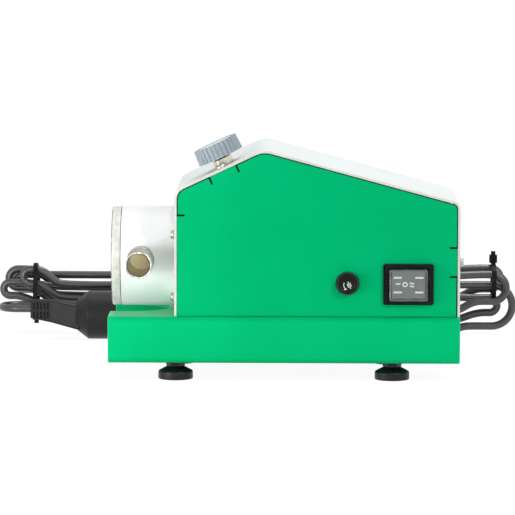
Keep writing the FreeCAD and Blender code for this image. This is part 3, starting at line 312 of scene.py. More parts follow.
def walled(form, lower, upper):
    """New faces between two rings of corners, of which one may be a single corner."""
    sides = max(len(lower), len(upper))
    for side in range(sides):
        after = (side + 1) % sides
        corners = [lower[side % len(lower)], lower[after % len(lower)]]
        corners += [upper[after % len(upper)], upper[side % len(upper)]]
        form.faces.new(list(dict.fromkeys(corners)))


def turned(profile, sides):
    """A closed form turned about Z through points (radius, height), which start and end on the axis."""
    form = bmesh.new()
    rings = [ring_of(form, radius, height, sides if radius else 1) for radius, height in profile]
    for lower, upper in zip(rings, rings[1:]):
        walled(form, lower, upper)
    bmesh.ops.recalc_face_normals(form, faces=form.faces)
    return form


def cut_out(name, form, cutter_form, *materials):
    """A piece from a form with another form cut out of it."""
    piece = shown(name, form, *materials)
    cutter = shown(name + "_cutter", cutter_form)
    cut = piece.modifiers.new("cut", "BOOLEAN")
    cut.object = cutter
    cut.solver = "EXACT"
    cut.use_self = True
    settled(piece)
    bpy.data.objects.remove(cutter)
    return piece


def rule_tree(name, **sockets):
    """A geometry tree with a geometry input, more inputs by name and kind, and one geometry output."""
    tree = bpy.data.node_groups.new(name, "GeometryNodeTree")
    tree.interface.new_socket("Geometry", in_out="OUTPUT", socket_type="NodeSocketGeometry")
    tree.interface.new_socket("Geometry", in_out="INPUT", socket_type="NodeSocketGeometry")
    for socket, kind in sockets.items():
        tree.interface.new_socket(socket.replace("_", " "), in_out="INPUT", socket_type="NodeSocket" + kind)
    return tree, tree.nodes.new("NodeGroupInput").outputs, tree.nodes.new("NodeGroupOutput").inputs


def made_by(tree, carrier, **values):
    """The carrier with the plain mesh that the tree makes of it, with the tree's inputs set by name."""
    rule = carrier.modifiers.new(tree.name, "NODES")
    rule.node_group = tree
    for item in tree.interface.items_tree:
        key = item.name.replace(" ", "_")
        if item.in_out == "INPUT" and key in values:
            rule[item.identifier] = values[key]
    return settled(carrier)


def ended(tree, geometry, material, result):
    """Ends a tree: what it made becomes plain geometry of one material."""
    plain = wire(tree.nodes.new("GeometryNodeRealizeInstances"), geometry=geometry).outputs["Geometry"]
    coated = wire(tree.nodes.new("GeometryNodeSetMaterial"), geometry=plain, material=material)
    tree.links.new(coated.outputs["Geometry"], result["Geometry"])


planting, wanted, result = rule_tree("planted screws", Head_radius="Float", Screw="Object",
                                     Plating="Material")
facing = planting.nodes.new("GeometryNodeInputNamedAttribute")
facing.data_type = "FLOAT_VECTOR"
wire(facing, name="facing")
aligned = wire(planting.nodes.new("FunctionNodeAlignRotationToVector"), vector=facing.outputs["Attribute"])
aligned.axis = "Z"
chance = wire(planting.nodes.new("FunctionNodeRandomValue"), seed=4)
chance.data_type = "FLOAT"
largest_number = chance.inputs[3]
largest_number.default_value = math.pi
random_number = chance.outputs[1]
driven = wire(planting.nodes.new("FunctionNodeAxisAngleToRotation"), angle=random_number)
spun = wire(planting.nodes.new("FunctionNodeRotateRotation"), rotation=aligned.outputs["Rotation"],
            rotate_by=driven.outputs["Rotation"])
spun.rotation_space = "LOCAL"
screw_source = wire(planting.nodes.new("GeometryNodeObjectInfo"), object=wanted["Screw"])
planted = wire(planting.nodes.new("GeometryNodeInstanceOnPoints"), points=wanted["Geometry"],
               instance=screw_source.outputs["Geometry"], rotation=spun.outputs["Rotation"],
               scale=wanted["Head radius"])
ended(planting, planted.outputs["Instances"], wanted["Plating"], result)


def solids_of(node):
    """The corners of each separate solid of a frame node."""
    form = merged_copy(node)
    seen = set()
    groups = []
    for first in form.verts:
        if first in seen:
            continue
        seen.add(first)
        front = [first]
        group = []
        while front:
            corner = front.pop()
            group.append(corner.co.copy())
            for edge in corner.link_edges:
                other = edge.other_vert(corner)
                if other not in seen:
                    seen.add(other)
                    front.append(other)
        groups.append(group)
    form.free()
    return groups


end_slice = 0.1 * mm


def seat_of(corners, axes, head_height):
    """Where a screw's head meets what it holds, and the way it faces, which is the way of its wide end."""
    middle = sum(corners, Vector()) / len(corners)

    def girth(axis, spots):
        return max((spot - middle).cross(axis).length for spot in spots)

    def end_girth(axis):
        top = max((spot - middle).dot(axis) for spot in corners)
        return girth(axis, [spot for spot in corners if (spot - middle).dot(axis) > top - end_slice])

    axis = min(axes, key=lambda way: girth(way, corners))
    outward = max((axis, -axis), key=end_girth)
    top = max((spot - middle).dot(outward) for spot in corners)
    return middle + outward * (top - head_height), outward


def driven_in(node, screw, head_radius, head_height, *axes):
    """A screw at each of a node's solids, which stands for the node."""
    seats = [seat_of(corners, axes, head_height * mm) for corners in solids_of(node)]
    spots = bpy.data.meshes.new(node)
    spots.from_pydata([seat for seat, outward in seats], [], [])
    facings = spots.attributes.new("facing", "FLOAT_VECTOR", "POINT")
    for entry, (seat, outward) in zip(facings.data, seats):
        entry.vector = outward
    carrier = bpy.data.objects.new(node + "_finished", spots)
    bpy.context.scene.collection.objects.link(carrier)
    made_by(planting, carrier, Head_radius=head_radius * mm, Screw=screw, Plating=zinc_plate)
    bpy.data.objects.remove(screw)
    return standing_for(carrier, node)


screw_head_radius = 2.9
screw_head_height = 2.3
left_slope = math.radians(25)
along_x = Vector((1, 0, 0))
along_z = Vector((0, 0, 1))
off_slope = Vector((-math.sin(left_slope), 0, math.cos(left_slope)))
pan_height = screw_head_height / screw_head_radius
shank_radius = 1.5 / screw_head_radius
shank_length = 6.0 / screw_head_radius
pan_foot_in = 0.04
pan_foot_up = 0.05
pan_flat = 0.45
pan_side = 0.4
pan_steps = 7
screw_sides = 32
cross_length = 1.1
cross_width = 0.26
cross_height = 0.8


def pan_screw():
    """A pan head screw with a cross recess, in units of its head's radius."""
    profile = [(0, -shank_length), (shank_radius, -shank_length), (shank_radius, 0)]
    profile += [(1 - pan_foot_in, 0), (1, pan_foot_up)]
    for step in range(pan_steps):
        angle = math.pi / 2 * step / pan_steps
        out = pan_flat + (1 - pan_flat) * math.cos(angle)
        profile.append((out, pan_height * (pan_side + (1 - pan_side) * math.sin(angle))))
    profile += [(pan_flat, pan_height), (0, pan_height)]
    form = turned(profile, screw_sides)
    for face in form.faces:
        face.smooth = True
    cross = bmesh.new()
    for length, width in ((cross_length, cross_width), (cross_width, cross_length)):
        place = Matrix.Translation((0, 0, pan_height)) @ Matrix.Diagonal((length, width, cross_height, 1))
        bmesh.ops.create_cube(cross, size=1, matrix=place)
    return cut_out("pan_screw", form, cross)


driven_in("cover_screws", pan_screw(), screw_head_radius, screw_head_height, along_x, off_slope)
driven_in("base_screws", pan_screw(), screw_head_radius, screw_head_height, along_z)

# Wet chamber: a block of white acetal, turned round, with a cavity for the wheel and a bore for the tube.
# A rubber ring in its face seals the cover, and another in its back wall seals the shaft.
acetal = finish("white acetal", shade(243, 244, 243), shade(248, 249, 248), 20, (0.3, 0.42), 1.2, 0.008,
                stretch=(4, 1, 1), specular_ior_level=0.3)
softened("chamber_body", 0.5, "chamber_white", acetal)
dressed(seal_rubber, "cover_seal", "shaft_seal")

# Grinding wheel on the shaft's nose: a tan wheel of bonded grit on an aluminium hub, held by washer and nut.
# The grit is open and coarse, and the metal parts are turned.
grit = finish("bonded grit", shade(232, 217, 160), shade(247, 235, 186), 0.9, (0.7, 0.9), 0.35, 0.12)
softened("grinding_wheel", 0.3, "wheel_grit", grit)
softened("wheel_hub", 0.25, "hub_aluminium", cast_aluminium)
softened("wheel_washer", 0.2, "zinc_steel", zinc_plate)
softened("wheel_nut", 0.25, "zinc_steel", zinc_plate)

# Clear cover: a disc of cast acrylic over the open face of the chamber, polished flat and sawn round.
# Six socket head screws hold it, through the chamber into the motor plate. Its sawn rim is frosted.
acrylic = finish("clear acrylic", shade(246, 250, 249), shade(252, 253, 253), 30, (0.02, 0.06), 2, 0.004,
                 transmission_weight=1.0, ior=1.49)
frosted = finish("frosted acrylic", shade(204, 201, 188), shade(254, 254, 253), 8, (0.25, 0.38), 0.5, 0.004,
                 stretch=(0.3, 1, 1), transmission_weight=0.12, ior=1.49)
disc_low, disc_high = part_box("chamber_cover")
disc_foot = Vector((disc_low.x, (disc_low.y + disc_high.y) / 2, (disc_low.z + disc_high.z) / 2))
disc_radius = (disc_high.y - disc_low.y) / 2
disc_thickness = disc_high.x - disc_low.x
disc_sides = 120
rim_rounding = 0.8 * mm
rim_steps = 4
rim_slant = 0.5
screw_hole = 1.55 * mm
counterbore = 2.85 * mm
counterbore_depth = 3.2 * mm
disc_profile = [(0, 0)]
for foot, climb in ((0, -1), (disc_thickness, 1)):
    for step in range(rim_steps + 1):
        turn = math.pi / 2 * (step if climb > 0 else rim_steps - step) / rim_steps
        out = disc_radius - rim_rounding * (1 - math.cos(turn))
        disc_profile.append((out, foot - climb * rim_rounding * (1 - math.sin(turn))))
disc_profile.append((0, disc_thickness))
disc = turned(disc_profile, disc_sides)
disc.normal_update()
for face in disc.faces:
    face.material_index = 1 if abs(face.normal.z) < rim_slant else 0
disc.transform(Matrix.Translation(disc_foot) @ Matrix.Rotation(math.pi / 2, 4, "Y"))
holes = bmesh.new()
for corners in solids_of("chamber_screws"):
    hole = sum(corners, Vector()) / len(corners)
    hole.x = disc_low.x
    drill = Matrix.Translation(hole) @ Matrix.Rotation(math.pi / 2, 4, "Y")
    for radius, depth in ((screw_hole, 2 * disc_thickness), (counterbore, counterbore_depth)):
        bmesh.ops.create_cone(holes, cap_ends=True, segments=screw_sides, radius1=radius, radius2=radius,
                              depth=2 * depth, matrix=drill)
clear_disc = cut_out("chamber_cover_finished", disc, holes, acrylic, frosted)


def smoothed(form, sharp=sharp_turn):
    """Shades a form smooth, but for the edges that turn by more than sharp."""
    for face in form.faces:
        face.smooth = True
    for edge in form.edges:
        edge.smooth = edge.calc_face_angle(0) < sharp


drilled = bmesh.new()
drilled.from_mesh(clear_disc.data)
smoothed(drilled)
drilled.to_mesh(clear_disc.data)
drilled.free()
standing_for(clear_disc, "chamber_cover")

socket_head_radius = 2.75
socket_head_height = 3.0
socket_shank_radius = 1.5
socket_foot_in = 0.03
socket_foot_up = 0.04
socket_chamfer = 0.12
key_radius = 0.52
key_over = 0.1
key_sides = 6


def socket_screw(node):
    """A socket head screw as long as a node's, in units of its head's radius."""
    low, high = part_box(node)
    length = ((high.x - low.x) / mm - socket_head_height) / socket_head_radius
    height = socket_head_height / socket_head_radius
    shank = socket_shank_radius / socket_head_radius
    profile = [(0, -length), (shank, -length), (shank, 0), (1 - socket_foot_in, 0), (1, socket_foot_up)]
    profile += [(1, height - socket_chamfer), (1 - socket_chamfer, height), (0, height)]
    key_foot = height / 2
    key_top = height + key_over
    key = turned([(0, key_foot), (key_radius, key_foot), (key_radius, key_top), (0, key_top)], key_sides)
    return cut_out("socket_screw", turned(profile, screw_sides), key)


driven_in("chamber_screws", socket_screw("chamber_screws"), socket_head_radius, socket_head_height, along_x)

# Guide tube: nickel plated brass pipe, screwed into the chamber, with a fine thread and a chamfered mouth.
# The thread is cut by rule, one turn to each pitch, and the smooth bore leads the rod to the wheel.
nickel = finish("nickel plate", shade(158, 156, 149), shade(186, 184, 177), 2, (0.16, 0.3), 0.3, 0.004,
                metallic=1.0)
# The faces deep in the thread's grooves get a darker plate, which is painted shade.
thread_groove_shade = finish("dull plate in the thread", shade(58, 55, 49), shade(82, 78, 70), 2, (0.3, 0.45), 0.3,
                     0.006, metallic=1.0)
bare_brass = finish("bare brass", shade(136, 122, 92), shade(152, 138, 106), 2, (0.16, 0.28), 0.3, 0.003,
                    stretch=(1, 0.1, 1), metallic=1.0)
tube_low, tube_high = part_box("guide_tube")
tube_radius = (tube_high.x - tube_low.x) / 2
tube_length = tube_high.y - tube_low.y
tube_mouth = Vector(((tube_low.x + tube_high.x) / 2, tube_low.y, (tube_low.z + tube_high.z) / 2))
bore_radius = 6.8 * mm
thread_pitch = 1.337 * mm
thread_depth = 0.7 * mm
thread_turns = 22
thread_length = thread_turns * thread_pitch
mouth_land = 0.5 * mm
mouth_chamfer = 0.45 * mm
mouth_radius = tube_radius - mouth_chamfer
tube_sides = 64
rows_per_turn = 8


def worked(tree, operation, *values):
    """A sum in a tree, of numbers and of other nodes' outputs."""
    node = tree.nodes.new("ShaderNodeMath")
    node.operation = operation
    for socket, value in zip(node.inputs, values):
        if isinstance(value, (int, float)):
            socket.default_value = value
        else:
            tree.links.new(value, socket)
    return node.outputs["Value"]


cutting, wanted, result = rule_tree("cut thread", Radius="Float", Depth="Float", Pitch="Float",
                                    Length="Float", Land="Float", Sides="Int", Plating="Material")
drawn_out = worked(cutting, "ADD", wanted["Length"], wanted["Pitch"])
turns = worked(cutting, "ROUND", worked(cutting, "DIVIDE", drawn_out, wanted["Pitch"]))
rows = worked(cutting, "ADD", worked(cutting, "MULTIPLY", turns, rows_per_turn), 1)
columns = worked(cutting, "ADD", wanted["Sides"], 1)
sheet = wire(cutting.nodes.new("GeometryNodeMeshGrid"), size_x=1, size_y=1, vertices_x=columns,
             vertices_y=rows)
spot = cutting.nodes.new("GeometryNodeInputPosition").outputs["Position"]
across = wire(cutting.nodes.new("ShaderNodeSeparateXYZ"), vector=spot)
angle = worked(cutting, "MULTIPLY", across.outputs["X"], 2 * math.pi)
lifted = worked(cutting, "MULTIPLY", worked(cutting, "ADD", across.outputs["Y"], 0.5), drawn_out)
wound = worked(cutting, "DIVIDE", lifted, wanted["Pitch"])
drop = worked(cutting, "MULTIPLY", worked(cutting, "ADD", across.outputs["X"], 0.5), wanted["Pitch"])
from_mouth = worked(cutting, "MAXIMUM", worked(cutting, "SUBTRACT", lifted, drop), 0)
along = worked(cutting, "MINIMUM", from_mouth, wanted["Length"])
flank = worked(cutting, "PINGPONG", wound, 0.5)
groove = worked(cutting, "MULTIPLY", worked(cutting, "MULTIPLY", flank, 2), wanted["Depth"])
past_land = cutting.nodes.new("ShaderNodeMapRange")
past_land.interpolation_type = "SMOOTHSTEP"
wire(past_land, value=along, from_min=wanted["Land"],
     from_max=worked(cutting, "ADD", wanted["Land"], wanted["Pitch"]))
to_end = wire(cutting.nodes.new("ShaderNodeMapRange"), value=along, from_min=wanted["Length"],
              from_max=worked(cutting, "SUBTRACT", wanted["Length"], wanted["Pitch"]))
faded = worked(cutting, "MULTIPLY", past_land.outputs["Result"], to_end.outputs["Result"])
reach = worked(cutting, "SUBTRACT", wanted["Radius"], worked(cutting, "MULTIPLY", groove, faded))
rolled = wire(cutting.nodes.new("ShaderNodeCombineXYZ"), z=along,
              x=worked(cutting, "MULTIPLY", reach, worked(cutting, "COSINE", angle)),
              y=worked(cutting, "MULTIPLY", reach, worked(cutting, "SINE", angle)))
shaped = wire(cutting.nodes.new("GeometryNodeSetPosition"), geometry=sheet.outputs["Mesh"],
              position=rolled.outputs["Vector"])
closed = wire(cutting.nodes.new("GeometryNodeMergeByDistance"), geometry=shaped.outputs["Geometry"],
              distance=merge_reach)
ended(cutting, closed.outputs["Geometry"], wanted["Plating"], result)

guide_tube = made_by(cutting, shown("guide_tube_finished", bmesh.new()), Radius=mouth_radius,
                     Depth=thread_depth, Pitch=thread_pitch, Length=thread_length, Land=mouth_land,
                     Sides=tube_sides, Plating=nickel)
pipe = bmesh.new()
pipe.from_mesh(guide_tube.data)
for corner in pipe.verts:
    if corner.co.z > mouth_chamfer:
        corner.co.x *= tube_radius / mouth_radius
        corner.co.y *= tube_radius / mouth_radius
lining = [(tube_radius, thread_length), (tube_radius, tube_length), (bore_radius, tube_length)]
lining += [(bore_radius, mouth_chamfer), (bore_radius + mouth_chamfer, 0), (mouth_radius, 0)]
rings = [ring_of(pipe, radius, height, tube_sides, -math.pi) for radius, height in lining]
for first, second in zip(rings, rings[1:]):
    walled(pipe, first, second)
bmesh.ops.remove_doubles(pipe, verts=pipe.verts, dist=2 * merge_reach)
bmesh.ops.recalc_face_normals(pipe, faces=pipe.faces)
smoothed(pipe)
for face in pipe.faces:
    off_axis = face.calc_center_median().xy.length
    if off_axis < bore_radius:
        face.material_index = 1
    # Faces deep in the thread's grooves take the darker plate: painted shade.
    elif off_axis < tube_radius - thread_depth / 2 and abs(face.normal.z) < square_on:
        face.material_index = 2
    else:
        face.material_index = 0
pipe.transform(Matrix.Translation(tube_mouth) @ Matrix.Rotation(-math.pi / 2, 4, "X"))
guide_tube.data.materials.clear()
pipe.to_mesh(guide_tube.data)
pipe.free()
for plating in (nickel, bare_brass, thread_groove_shade):
    guide_tube.data.materials.append(plating)
standing_for(guide_tube, "guide_tube")

# Speed control: a potentiometer behind the left slope, held by a nut, with a fluted knob on its shaft.
# The knob is moulded in grey plastic by rule, with a paler cap let into its top; the nut is brass.
nut_brass = finish("nut brass", shade(206, 199, 178), shade(228, 222, 204), 2, (0.16, 0.3), 0.3, 0.006,
                   metallic=1.0)
knob_grey = finish("knob plastic", shade(143, 156, 164), shade(156, 169, 177), 10, (0.4, 0.55), 0.3, 0.02)
knob_cap = finish("knob cap", shade(222, 230, 234), shade(232, 239, 242), 8, (0.3, 0.42), 0.3, 0.01)
pointer_white = finish("pointer paint", shade(236, 236, 232), shade(244, 244, 240), 3, (0.4, 0.55), 0.3, 0.01)
knob_radius = 14.5 * mm
knob_height = 9.3 * mm
knob_top_radius = 13.9 * mm
knob_flutes = 30
flute_depth = 0.6 * mm
flute_share = 0.24
points_per_flute = 12
nut_height = 4.6 * mm
nut_gap = 1.0 * mm
cap_radius = 12.0 * mm
cap_gap = 0.15 * mm
cap_sink = 0.35 * mm
pointer_width = 1.4 * mm
pointer_length = 0.5 * knob_radius
pointer_middle = 0.58 * knob_radius
pointer_thickness = 0.4 * mm
dressed(black_plastic, "speed_potentiometer")
dressed(zinc_plate, "knob_shaft")
softened("potentiometer_nut", 0.3, "nut_brass", nut_brass)

fluting, wanted, result = rule_tree("fluted knob", Radius="Float", Height="Float", Depth="Float",
                                    Taper="Float", Flutes="Int", Plastic="Material")
outline = wire(fluting.nodes.new("GeometryNodeCurvePrimitiveCircle"), radius=wanted["Radius"],
               resolution=worked(fluting, "MULTIPLY", wanted["Flutes"], points_per_flute))
count = fluting.nodes.new("GeometryNodeInputIndex").outputs["Index"]
share = worked(fluting, "FRACT", worked(fluting, "DIVIDE", count, points_per_flute))
off_groove = worked(fluting, "ABSOLUTE", worked(fluting, "SUBTRACT", share, 0.5))
hollow = fluting.nodes.new("ShaderNodeMapRange")
hollow.interpolation_type = "SMOOTHSTEP"
wire(hollow, value=off_groove, from_max=flute_share, to_min=1, to_max=0)
sunk = worked(fluting, "MULTIPLY", hollow.outputs["Result"], wanted["Depth"])
kept = worked(fluting, "DIVIDE", worked(fluting, "SUBTRACT", wanted["Radius"], sunk), wanted["Radius"])
spot = fluting.nodes.new("GeometryNodeInputPosition").outputs["Position"]
drawn_in = fluting.nodes.new("ShaderNodeVectorMath")
drawn_in.operation = "SCALE"
wire(drawn_in, vector=spot, scale=kept)
fluted = wire(fluting.nodes.new("GeometryNodeSetPosition"), geometry=outline.outputs["Curve"],
              position=drawn_in.outputs["Vector"])
filled = fluting.nodes.new("GeometryNodeFillCurve")
filled.mode = "NGONS"
wire(filled, curve=fluted.outputs["Geometry"])
upward = wire(fluting.nodes.new("ShaderNodeCombineXYZ"), z=wanted["Height"])
raised = wire(fluting.nodes.new("GeometryNodeExtrudeMesh"), mesh=filled.outputs["Mesh"], individual=False,
              offset=upward.outputs["Vector"], offset_scale=1)
tapered = wire(fluting.nodes.new("GeometryNodeScaleElements"), geometry=raised.outputs["Mesh"],
               selection=raised.outputs["Top"], scale=wanted["Taper"])
underside = wire(fluting.nodes.new("GeometryNodeFlipFaces"), mesh=filled.outputs["Mesh"])
both = wire(fluting.nodes.new("GeometryNodeJoinGeometry"), geometry=tapered.outputs["Geometry"])
wire(both, geometry=underside.outputs["Mesh"])
sealed = wire(fluting.nodes.new("GeometryNodeMergeByDistance"), geometry=both.outputs["Geometry"],
              distance=merge_reach)
ended(fluting, sealed.outputs["Geometry"], wanted["Plastic"], result)

speed_knob = made_by(fluting, shown("speed_knob_finished", bmesh.new()), Radius=knob_radius,
                     Height=knob_height, Depth=flute_depth, Taper=knob_top_radius / knob_radius,
                     Flutes=knob_flutes, Plastic=knob_grey)
nut_low, nut_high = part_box("potentiometer_nut")
knob_foot = (nut_low + nut_high) / 2 + off_slope * (nut_height / 2 + nut_gap)
on_slope = Matrix.Translation(knob_foot) @ along_z.rotation_difference(off_slope).to_matrix().to_4x4()
grip = bmesh.new()
grip.from_mesh(speed_knob.data)
top_face = max(grip.faces, key=lambda face: face.calc_center_median().z)
outer = list(top_face.verts)
bmesh.ops.delete(grip, geom=[top_face], context="FACES_ONLY")
for radius, height in ((cap_radius, knob_height), (cap_radius - cap_gap, knob_height - cap_sink)):
    inner = [grip.verts.new((*corner.co.xy.normalized() * radius, height)) for corner in outer]
    walled(grip, outer, inner)
    outer = inner
cap_face = grip.faces.new(outer)
bmesh.ops.recalc_face_normals(grip, faces=grip.faces)
smoothed(grip)
for face in grip.faces:
    face.material_index = 1 if face is cap_face else 0
pointer_place = Matrix.Translation((0, -pointer_middle, knob_height - cap_sink))
pointer_size = Matrix.Diagonal((pointer_width, pointer_length, pointer_thickness, 1))
painted = bmesh.ops.create_cube(grip, size=1, matrix=pointer_place @ pointer_size)
for corner in painted["verts"]:
    for face in corner.link_faces:
        face.material_index = 2
grip.transform(on_slope)
speed_knob.data.materials.clear()
grip.to_mesh(speed_knob.data)
grip.free()
for plastic in (knob_grey, knob_cap, pointer_white):
    speed_knob.data.materials.append(plastic)
standing_for(speed_knob, "speed_knob")

# Power switch: a black body that snaps into the front panel, a grey rocker and a clear splash cap.
# Its positions are marked in white by a dash, a ring and a double dash, with four dashes at the corners.
rocker_grey = finish("rocker plastic", shade(106, 114, 112), shade(119, 127, 125), 5, (0.35, 0.5), 0.3, 0.02,
                     specular_ior_level=0.3)
mark_white = finish("marking ink", shade(244, 247, 246), shade(250, 252, 251), 2, (0.45, 0.6), 0.2, 0.01)
softened("switch_body", 0.6, "black_plastic", black_plastic, steps=3)
softened("switch_rocker", 0.3, "rocker_grey", rocker_grey)
softened("switch_splash_cap", 0.3, "clear_acrylic", acrylic, steps=3)
dressed(copper, "switch_terminals")
film_thickness = 0.12 * mm
ray_start = 50 * mm
inward = Vector((0, 1, 0))


def dash(x, z, length, width, tilt=0):
    """The corners of a dash about a point, in mm."""
    corners = []
    for side, end in ((-1, -1), (1, -1), (1, 1), (-1, 1)):
        run = Vector((side * length / 2, end * width / 2))
        run.rotate(Matrix.Rotation(math.radians(tilt), 2))
        corners.append((x + run.x, z + run.y))
    return corners


def arc(x, z, inner, outer, start, turn, steps):
    """The patches of a bent stroke about a point, in mm and degrees."""
    patches = []
    for step in range(steps):
        first = math.radians(start + turn * step / steps)
        last = math.radians(start + turn * (step + 1) / steps)
        corners = []
        for radius, angle in ((inner, first), (outer, first), (outer, last), (inner, last)):
            corners.append((x + radius * math.cos(angle), z + radius * math.sin(angle)))
        patches.append(corners)
    return patches


def printed(name, carrier, centre, patches, body):
    """Patches, in mm from a centre as seen from the front, laid as a film of ink on a carrier's front."""
    form = bmesh.new()
    form.from_mesh(carrier.data)
    surface = BVHTree.FromBMesh(form)
    form.free()
    ink = bmesh.new()
    for patch in patches:
        corners = []
        for x, z in patch:
            ahead = centre + Vector((x * mm, -ray_start, z * mm))
            corners.append(ink.verts.new(surface.ray_cast(ahead, inward)[0]))
        ink.faces.new(corners)
    bmesh.ops.remove_doubles(ink, verts=ink.verts, dist=merge_reach)
    bmesh.ops.recalc_face_normals(ink, faces=ink.faces)
    piece = shown(name, ink, mark_white)
    film = piece.modifiers.new("film", "SOLIDIFY")
    film.thickness = film_thickness
    film.offset = 0
    settled(piece)
    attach(piece, body)


rocker_low, rocker_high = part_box("switch_rocker")
rocker_centre = (rocker_low + rocker_high) / 2
corner_dash = (5.0, 1.15)
single_dash = (2.8, 0.9)
double_dash = (2.8, 0.85)
double_tilt = -8
switch_marks = [dash(x, z, *corner_dash) for x in (-6.6, 6.6) for z in (-4.6, 4.4)]
switch_marks.append(dash(-6.4, 0.6, *single_dash))
switch_marks += [dash(2.1, z, *double_dash, double_tilt) for z in (0.9, -0.9)]
switch_marks += arc(-2.1, 0.2, inner=0.85, outer=1.65, start=0, turn=360, steps=24)
printed("switch_marks", bpy.data.objects["switch_rocker_finished"], rocker_centre, switch_marks, "rocker")

# Fuse holder: a black barrel through the front panel with a round glossy flange, a carrier and a turning cap.
# The cap is moulded with a raised lip, and an arrow and a fuse sign on its face show how it turns.
glossy_black = finish("glossy black plastic", shade(12, 13, 13), shade(19, 21, 21), 4, (0.14, 0.22), 0.3,
                      0.006, specular_ior_level=0.8)
fuse_glass = finish("fuse glass", shade(226, 232, 232), shade(236, 240, 240), 5, (0.05, 0.1), 1, 0.004,
                    transmission_weight=1.0, ior=1.5)
softened("fuse_holder", 1.1, "black_plastic", glossy_black, steps=4)
fuse_low, fuse_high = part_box("fuse_cap")
fuse_front = Vector(((fuse_low.x + fuse_high.x) / 2, fuse_low.y, (fuse_low.z + fuse_high.z) / 2))
fuse_cap_radius = (fuse_high.x - fuse_low.x) / 2
fuse_cap_height = 3.8 * mm
fuse_cap_length = fuse_high.y - fuse_low.y
skirt_radius = 4.4 * mm
lip = 0.5 * mm
dish = 0.45 * mm
dish_edge = fuse_cap_radius - 2.8 * lip
cap_sides = 64
cap_sharp_turn = math.radians(50)
cap_profile = [(0, -fuse_cap_length), (skirt_radius, -fuse_cap_length), (skirt_radius, -fuse_cap_height)]
cap_profile += [(fuse_cap_radius - lip / 2, -fuse_cap_height), (fuse_cap_radius, lip / 2 - fuse_cap_height)]
cap_profile += [(fuse_cap_radius, -lip), (fuse_cap_radius - lip / 3, -lip / 3), (fuse_cap_radius - lip, 0)]
cap_profile += [(fuse_cap_radius - 2 * lip, 0), (dish_edge, -dish), (0, -dish)]
cap_form = turned(cap_profile, cap_sides)
smoothed(cap_form, cap_sharp_turn)
cap_form.transform(Matrix.Translation(fuse_front) @ Matrix.Rotation(math.pi / 2, 4, "X"))
fuse_cap = standing_for(shown("fuse_cap_finished", cap_form, black_plastic), "fuse_cap")
arrow_head = [(-2.1, -3.6), (-0.3, -3.2), (-1.5, -2.2)]
sign_tilt = -68
sign_stroke = 0.4
fuse_marks = arc(0.4, -0.5, inner=2.6, outer=3.0, start=150, turn=85, steps=10)
fuse_marks.append(arrow_head)
for length, x, z in ((4.6, 1.0, -0.6), (2.6, 0.2, -0.9), (2.6, 1.8, -0.3)):
    fuse_marks.append(dash(x, z, length, sign_stroke, sign_tilt))
printed("fuse_marks", fuse_cap, fuse_front, fuse_marks, "fuse_cap")
dressed(black_plastic, "fuse_nut", "fuse_carrier")
dressed(fuse_glass, "fuse_cartridge")

# Cable gland: a black nylon hexagon on the rear panel, with a tapered sleeve that saves the cord from kinks.
# Its nut holds it from inside.
softened("cable_gland", 0.4, "black_plastic", black_plastic)
dressed(black_plastic, "gland_nut")

# Mains cord: one grey PVC lead, which leaves the gland, passes over the hank and is folded into it.
# The hank lies in line with the machine behind it: four loops in rows, and the last end turns to the plug.
cord_grey = finish("cord PVC", shade(40, 43, 42), shade(50, 53, 52), 12, (0.28, 0.38), 0.6, 0.006,
                   specular_ior_level=0.9)
centring = Vector((-1.1, 2.5, 0))
cord_diameter = 5.2
lead_route = [(61.75, 80, 58), (61.75, 98, 58), (61, 120, 51.5), (58, 143, 46), (54, 166, 43.6)]
lead_route += [(45, 191, 45), (22, 210.1, 38), (0, 210.1, 38)]
hank_pitch = 5.8
last_row = 186.9
gather = -150
right_straight = 10
top_heights = (38, 31, 31, 33, 27)
low_heights = (24, 18, 13, 24)
left_turns = ((-178, 33, 5), (-180.5, 36, 6.4), (-185.5, 29.5, 4.6), (-171.5, 38.4, 5))
right_turns = ((138.5, 36.5, 7), (138, 19, 5), (139, 19.5, 14), (139.5, 32, 9))
right_sag = (22, 8.5, 3.2, 15.5)
sag_x = 112
turn_points = 6
run_points = 5
over_top = (0.35, 0.7, 1.0)
into_turn = (0.35, 0.7, 1.0)
out_of_turn = (0.0, 0.3, 0.65)
lead_in = 1.1
plug_start = Vector((-169.5, 164.5, 20))
last_turn = -178


def eased(first, last, share):
    """A value on its way from first to last, slow at both ends."""
    return first + (last - first) * share * share * (3 - 2 * share)


def half_turn():
    """The control points of a half turn of radius 1 and of one step more at each end, as ways out and up."""
    step = math.pi / turn_points
    points = []
    for turn in range(-1, turn_points + 1):
        angle = (turn + 0.5) * step
        points.append((math.sin(angle) / math.cos(step / 2), math.cos(angle) / math.cos(step / 2)))
    return points


def sloping(start, end, shares):
    """Points on an even slope from start to end that is level at both ends."""
    points = []
    for share in shares:
        side = eased(start[1], end[1], share)
        height = eased(start[2], end[2], share)
        points.append(Vector((start[0] + (end[0] - start[0]) * share, side, height)))
    return points


